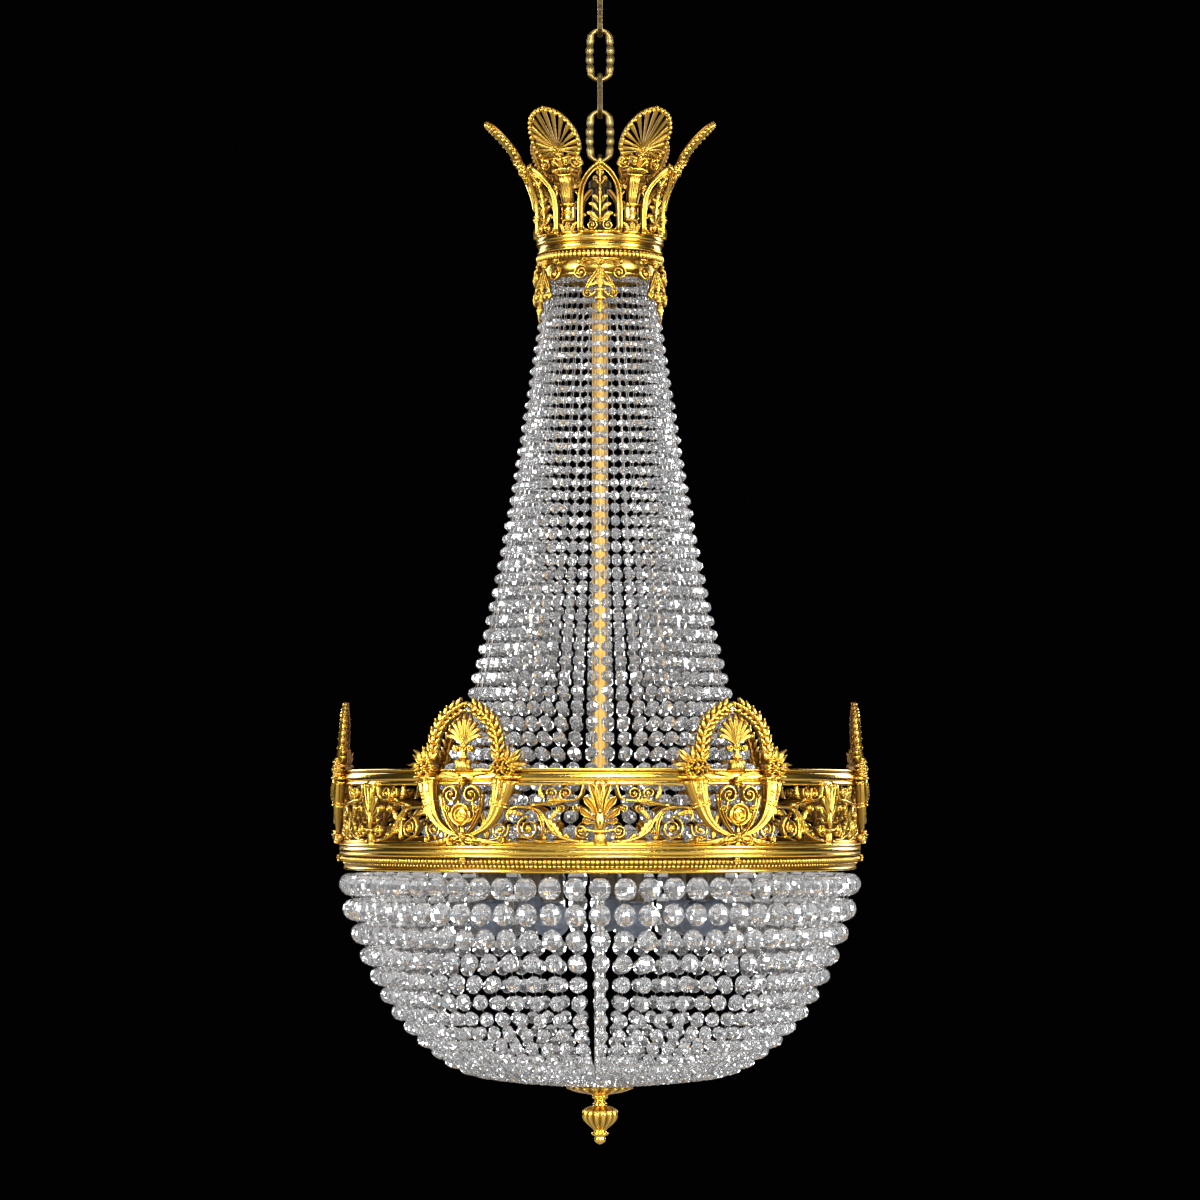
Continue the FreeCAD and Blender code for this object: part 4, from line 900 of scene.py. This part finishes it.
def cut_bead(sides, latitudes, height=1.0):
    """Corners and faces of a cut bead of radius 1 with its hole along z, flattened to a height."""
    turn = np.arange(sides) / sides * 2 * math.pi
    lat = np.radians(latitudes)[:, None]
    rings = np.broadcast_arrays(np.cos(turn) * np.cos(lat), np.sin(turn) * np.cos(lat), height * np.sin(lat))
    return np.stack(rings, -1).reshape(-1, 3), tube_faces(len(latitudes), sides)


def string_beads(profile, sizes, pitches):
    """Bead middles, diameters and distances along a profile of (radius, height), with sizes and pitches
    spread over its length: the number of beads up to a point is the sum of length over pitch."""
    gone = lengths(profile)
    pitch = spread(gone / gone[-1], pitches)
    number = np.concatenate([[0], np.cumsum(np.diff(gone) / (0.5 * (pitch[1:] + pitch[:-1])))])
    marks = np.interp(np.arange(0.5, number[-1]), number, gone)
    return spots_at(profile, marks), spread(marks / gone[-1], sizes), marks


def bead_strands(node, angles, profile, sizes, pitches, bead, wander, skip=0.0):
    """Write the strands of one CAD node, beads and wires as two slots of one piece, and count the beads.
    Every second strand has only the beads that lie further out than skip."""
    bead_corners, bead_faces = bead
    casting = Casting()
    strung = string_beads(profile, sizes, pitches)
    slope = np.gradient(profile, axis=0)
    gone = lengths(profile)
    beads = 0
    for number, angle in enumerate(angles):
        keep = strung[0][:, 0] > skip * (number % 2)
        middles, size, marks = (values[keep] for values in strung)
        count = len(middles)
        beads += count
        # disorder: the strand sways and slips as a whole, and each bead a little by itself
        sway = wander * np.sin(marks / gone[-1] * math.pi) * rng.normal(0, 1)
        slip = wander * rng.normal(0, 0.35) + rng.normal(0, 0.12 * wander, count)
        lean = np.interp(marks, gone, np.arctan2(slope[:, 0], slope[:, 1]))
        radius = middles[:, 0] + rng.normal(0, 0.25 * wander, count) + slip * np.sin(lean)
        height = middles[:, 1] + slip * np.cos(lean)
        azimuth = math.radians(angle) + (sway + rng.normal(0, 0.22 * wander, count)) / radius
        # three directions of each bead: along the wire, to its side and to its front
        out = np.stack([np.cos(azimuth), np.sin(azimuth), np.zeros(count)], 1)
        side = np.cross(UP, out)
        axis = out * np.sin(lean)[:, None] + UP * np.cos(lean)[:, None]
        front = np.cross(side, axis)
        turn = rng.uniform(0, 2 * math.pi, count)[:, None]
        first = front * np.cos(turn) + side * np.sin(turn)
        second = side * np.cos(turn) - front * np.sin(turn)
        basis = np.stack([first, second, axis], 1)
        middle = (out * radius[:, None] + UP * height[:, None])[:, None]
        starts = np.arange(count) * len(bead_corners)
        faces = [[corner + start for corner in face] for start in starts.tolist() for face in bead_faces]
        casting.add(middle + bead_corners @ (basis * (0.5 * size)[:, None, None]), faces, 1.0)
        # the wire runs through the middles
        around = np.array([(1, 0), (0, 1), (-1, 0), (0, -1)]) * WIRE_RADIUS
        casting.tube(middle + front[:, None] * around[:, :1] + side[:, None] * around[:, 1:], 1.0, 1)
    materials = (crystal.material, pin_wire.material)
    write_piece(node + "_beads", casting, node, materials=materials, smooth=False)
    return beads


def hang_strands(name, strands, groups, start, *measures):
    """Strands at even angles from a start, shared out over the CAD nodes of that name."""
    in_group = strands // groups
    beads = 0
    for group in range(groups):
        angles = start + (np.arange(in_group) + group * in_group) * 360.0 / strands
        beads += bead_strands("%s_%d" % (name, group + 1), angles, *measures)
    print(name, "has", beads, "beads")


# %% [markdown]
# The tent's strands hang close together under the crown and spread towards the ring. The bowl's strands
# start with the largest beads, and under the bowl they would meet: every second strand stops there,
# hooked to its neighbours.

# %% Tent and bowl
tent_low, tent_high = corners("tent_strands_1")
TENT_STATIONS = ((65.0, tent_high[2] + 1.0), (113.4, -670.0), (160.0, -886.0), (223.0, tent_low[2] + 6.0))
TENT_SIZES = (9.0, 11.0, 13.8, 16.8, 18.8)
TENT_PITCHES = (13.6, 14.6, 17.2, 19.6, 21.2)
tent_bead = cut_bead(8, (-62, -24, 24, 62), 0.86)
TENT_STRANDS, TENT_GROUPS, TENT_WANDER = 54, 3, 0.6
hang_strands("tent_strands", TENT_STRANDS, TENT_GROUPS, 0.0, smooth_line(TENT_STATIONS, 400),
             TENT_SIZES, TENT_PITCHES, tent_bead, TENT_WANDER)

BOWL_STRANDS, BOWL_GROUPS, BOWL_WANDER, BOWL_SKIP = 66, 6, 0.8, 108.0
BOWL_STATIONS = ((312.5, rim_foot - 3.0), (307.0, rim_foot - 50.0), (277.0, rim_foot - 132.0),
                 (238.0, rim_foot - 193.0), (177.5, rim_foot - 243.0), (110.0, rim_foot - 258.0),
                 (34.0, rim_foot - 265.5))
BOWL_SIZES = (28.0, 26.5, 20.5, 17.5, 15.0, 12.6, 10.4, 8.2)
BOWL_PITCHES = (31.5, 31.5, 27.5, 24.5, 22.0, 18.0, 15.0, 12.5)
bowl_bead = cut_bead(9, (-68, -42, -14, 14, 42, 68))
# the first group's sixth strand hangs at the front
bowl_start = -90 - 5 * 360.0 / BOWL_STRANDS
hang_strands("bowl_strands", BOWL_STRANDS, BOWL_GROUPS, bowl_start, smooth_line(BOWL_STATIONS, 500),
             BOWL_SIZES, BOWL_PITCHES, bowl_bead, BOWL_WANDER, BOWL_SKIP)

# %% [markdown]
# ## The bottom plate and the finial
#
# Both are turned, with gadroons: swelling lobes cut by a fluting tool. A lathe surface does them, with a
# flute depth at each corner of the profile.

# %% Bottom plate and finial


def turned_solid(casting, corners, steps, flutes):
    """Turn a profile that starts and ends near the axis, and close it there. Each corner is a radius, a
    height and the depth of the flutes."""
    radius, height, depth = np.array(corners, float).T[..., None]
    turn = np.linspace(0, 2 * math.pi, steps, endpoint=False)
    wave = (0.5 + 0.5 * np.cos(flutes * turn)) ** 1.5
    # relief drops to 0.25 in the deep of each flute: painted shade in the gadroons
    casting.tube(revolve(radius - depth * wave, height, turn), 1 - 0.75 * (depth > 0) * wave)


plate_low, plate_high = corners("bottom_plate")
foot = plate_low[2]
reach, _, top = plate_high
plate = Casting()
turned_solid(plate, ((0.5, top, 0), (reach - 2, top, 0.6), (reach, top - 1.2, 1.6),
                     (reach - 0.5, top - 3.4, 2.0), (reach - 4, top - 4.6, 2.2), (reach - 8, top - 6.4, 2.0),
                     (reach - 14, top - 8.2, 1.6), (reach - 20, top - 9.2, 1.0), (reach - 26, top - 9.6, 0.4),
                     (16, foot + 0.6, 0), (12.5, foot, 0), (0.5, foot, 0)), steps=240, flutes=20)
write_piece("bottom_plate_turned", plate, "bottom_plate")

# the finial's profile: how far down, and how far out, as shares of its height and its radius
PROFILE = ((0.0, 0.4), (0.0, 0.43), (0.03, 0.46), (0.07, 0.43), (0.09, 0.32), (0.12, 0.27), (0.155, 0.34),
           (0.17, 0.42), (0.20, 0.40), (0.225, 0.40), (0.24, 0.62), (0.28, 0.87), (0.33, 0.98), (0.40, 1.0),
           (0.46, 0.98), (0.52, 0.90), (0.58, 0.76), (0.63, 0.60), (0.68, 0.43), (0.73, 0.33), (0.75, 0.38),
           (0.775, 0.50), (0.81, 0.44), (0.83, 0.30), (0.85, 0.26), (0.88, 0.32), (0.92, 0.32), (0.96, 0.24),
           (0.99, 0.10), (1.0, 0.02))
finial_low, finial_high = corners("finial")
drop, share = np.array(PROFILE).T
height = finial_high[2] - drop * (finial_high[2] - finial_low[2])
# the gadroons are deepest in the middle of the belly, which lies between 0.23 and 0.69 of the height
depth = 2.6 * np.sin(math.pi * (drop - 0.23) / 0.46) * (abs(drop - 0.46) < 0.23)
finial = Casting()
turned_solid(finial, np.stack([share * finial_high[0], height, depth], 1), steps=168, flutes=14)
write_piece("finial_turned", finial, "finial")

# %% [markdown]
# ## The chain
#
# A link is a ring between two ovals. One angle runs round the oval and another round the section, and the
# outer edge and the faces swell into pairs of laurel leaves along the sides. The bearing ends stay plain,
# as they wear, so the links can swing on each other.

# %% Chain links
LINK_DEPTH, LINK_END, HOLE_HALF, LINK_HALF = 7.0, 5.5, 8.0, 18.0
STEPS_AROUND, SECTION_STEPS, LEAVES = 112, 14, 28


def oval(half, top, foot, turn, slide):
    """An upright oval: a half circle at each end, with the middle of the circle sliding between them."""
    centre = 0.5 * (top + foot) + (0.5 * (top - foot) - half) * slide
    return np.concatenate([half * np.cos(turn), centre + half * np.sin(turn)], 1)[:, None]


def chain_link(node, body, flat_axis):
    """One link of the chain, with its flat faces towards an axis (0 for x, 1 for y)."""
    low, high = corners(node)
    turn = np.linspace(0, 2 * math.pi, STEPS_AROUND, endpoint=False)[:, None]
    beta = np.linspace(0, 2 * math.pi, SECTION_STEPS, endpoint=False)
    slide = np.clip(2.2 * np.sin(turn), -1, 1)
    straight = np.clip((1.02 - abs(slide)) * 3.0, 0, 1)
    groove = straight * (1 - abs(np.sin(turn * LEAVES / 2)) ** 0.8)
    share = (0.5 + 0.5 * np.cos(beta) * (1 - 0.34 * groove))[..., None]
    swell = 1 - 0.5 * groove * abs(np.sin(beta))
    rib = 1 - straight * 0.3 * np.exp(-(np.cos(beta) / 0.18) ** 2)
    depth = 0.5 * LINK_DEPTH * np.sin(beta) * swell * rib
    inside = oval(HOLE_HALF, high[2] - LINK_END, low[2] + LINK_END, turn, slide)
    flat = inside * (1 - share) + oval(LINK_HALF, high[2], low[2], turn, slide) * share
    columns = [flat[..., 0], flat[..., 1]]
    columns.insert(flat_axis, depth)
    link = Casting()
    # relief 0 in the leaf grooves and 0.3 on the inner and outer edges: painted shade for the chain brass
    link.add(np.stack(columns, -1), quads(STEPS_AROUND, SECTION_STEPS, True, True),
             (1 - groove) * (0.3 + 0.7 * np.sin(beta) ** 2))
    write_piece(node + "_leafed", link, node, body=body, materials=(chain_brass,))


for index in range(4):
    chain_link("chain_link_%d" % (index + 1), "link_%d" % (index + 1), index % 2)

# %% [markdown]
# ## Pieces kept as they are
#
# The stem, the spiders, the rings inside and the lamps already have their real shapes, so they only take
# a finish. Each CAD mesh keeps its place and its vertices.

# %% Finishes of the kept nodes
FINISH_OF = {
    "stem_eye": chain_brass, "stem_tube": stem_gilt.material, "stem_nuts": bronze, "stem_coupling": bronze,
    "crown_spider": bronze, "tent_ring": gilt_plain, "ring_spider": bronze, "lamp_ring": nickel,
    "lower_stem": nickel, "bulbs": frosted.material, "lampholders": holder_shell.material,
}
for node, material in FINISH_OF.items():
    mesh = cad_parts[node].data
    mesh.materials.clear()
    mesh.materials.append(material)
print("kept nodes:", len(FINISH_OF))

# %% [markdown]
# ## Camera, lamps and floor
#
# The photograph looks slightly upwards from five and a half metres away, with a long lens. The floor lies
# below the picture. The room is black, so that gilding and crystal keep their contrast, and a few upright
# soft lamps round the object give each facet one bright thing to show.

# %% Camera
scene = bpy.context.scene
lens = bpy.data.cameras.new("camera")
lens.lens = 132.0
lens.sensor_width = 36.0
lens.clip_end = 50.0
camera = bpy.data.objects.new("camera", lens)
scene.collection.objects.link(camera)
scene.camera = camera


def look(thing, place, target):
    """Put a camera or a lamp at a place, turned to a target, in metres."""
    way = np.array(target) - np.array(place)
    flat = math.hypot(way[0], way[1])
    thing.location = place
    thing.rotation_euler = (math.atan2(flat, -way[2]), 0.0, math.atan2(-way[0], way[1]))


look(camera, (0.0, -5.5, -1.005), (0.0, 0.0, -0.761))

# %% Lamps
LAMPS = {
    # name: (place, target, width, height, watts)
    "front": ((0.5, -5.2, 0.0), (0, 0, -0.9), 1.8, 1.4, 265),
    "left": ((-3.4, -2.4, -0.2), (0, 0, -0.8), 1.1, 2.6, 205),
    "right": ((3.4, -2.0, -0.4), (0, 0, -0.8), 1.1, 2.6, 170),
    "back_left": ((-2.6, 2.8, 0.2), (0, 0, -0.8), 0.9, 2.6, 60),
    "back_right": ((2.6, 2.8, 0.2), (0, 0, -0.8), 0.9, 2.6, 60),
    "top": ((0.0, -0.6, 2.4), (0, 0, -0.8), 2.2, 2.2, 110),
    "low": ((0.0, -2.6, -3.2), (0, 0, -1.1), 2.4, 1.4, 110),
}
for name, (place, target, width, height, watts) in LAMPS.items():
    light = bpy.data.lights.new(name, "AREA")
    light.shape = "RECTANGLE"
    light.size = width
    light.size_y = height
    light.energy = watts
    lamp = bpy.data.objects.new(name, light)
    lamp.visible_camera = False
    scene.collection.objects.link(lamp)
    look(lamp, place, target)

# %% Floor and room
FLOOR_LEVEL, FLOOR_RADIUS, FLOOR_CORNERS = -1.95, 3.4, 96
floor_finish = Finish("studio_floor", base_color=(0.32, 0.31, 0.30))
floor_finish.set(roughness=floor_finish.noise(3.0) * 0.1 + 0.7)
floor_mesh = bpy.data.meshes.new("studio_floor")
around = np.linspace(0, 2 * math.pi, FLOOR_CORNERS, endpoint=False)
floor_mesh.from_pydata(revolve(FLOOR_RADIUS, FLOOR_LEVEL, around), [],
                       [list(range(FLOOR_CORNERS))])
floor_mesh.materials.append(floor_finish.material)
floor = bpy.data.objects.new("studio_floor", floor_mesh)
scene.collection.objects.link(floor)

world = bpy.data.worlds.new("room")
world.use_nodes = True
world.node_tree.nodes["Background"].inputs["Color"].default_value = (0.0006, 0.0006, 0.0007, 1.0)
scene.world = world
scene.view_settings.view_transform = "Standard"
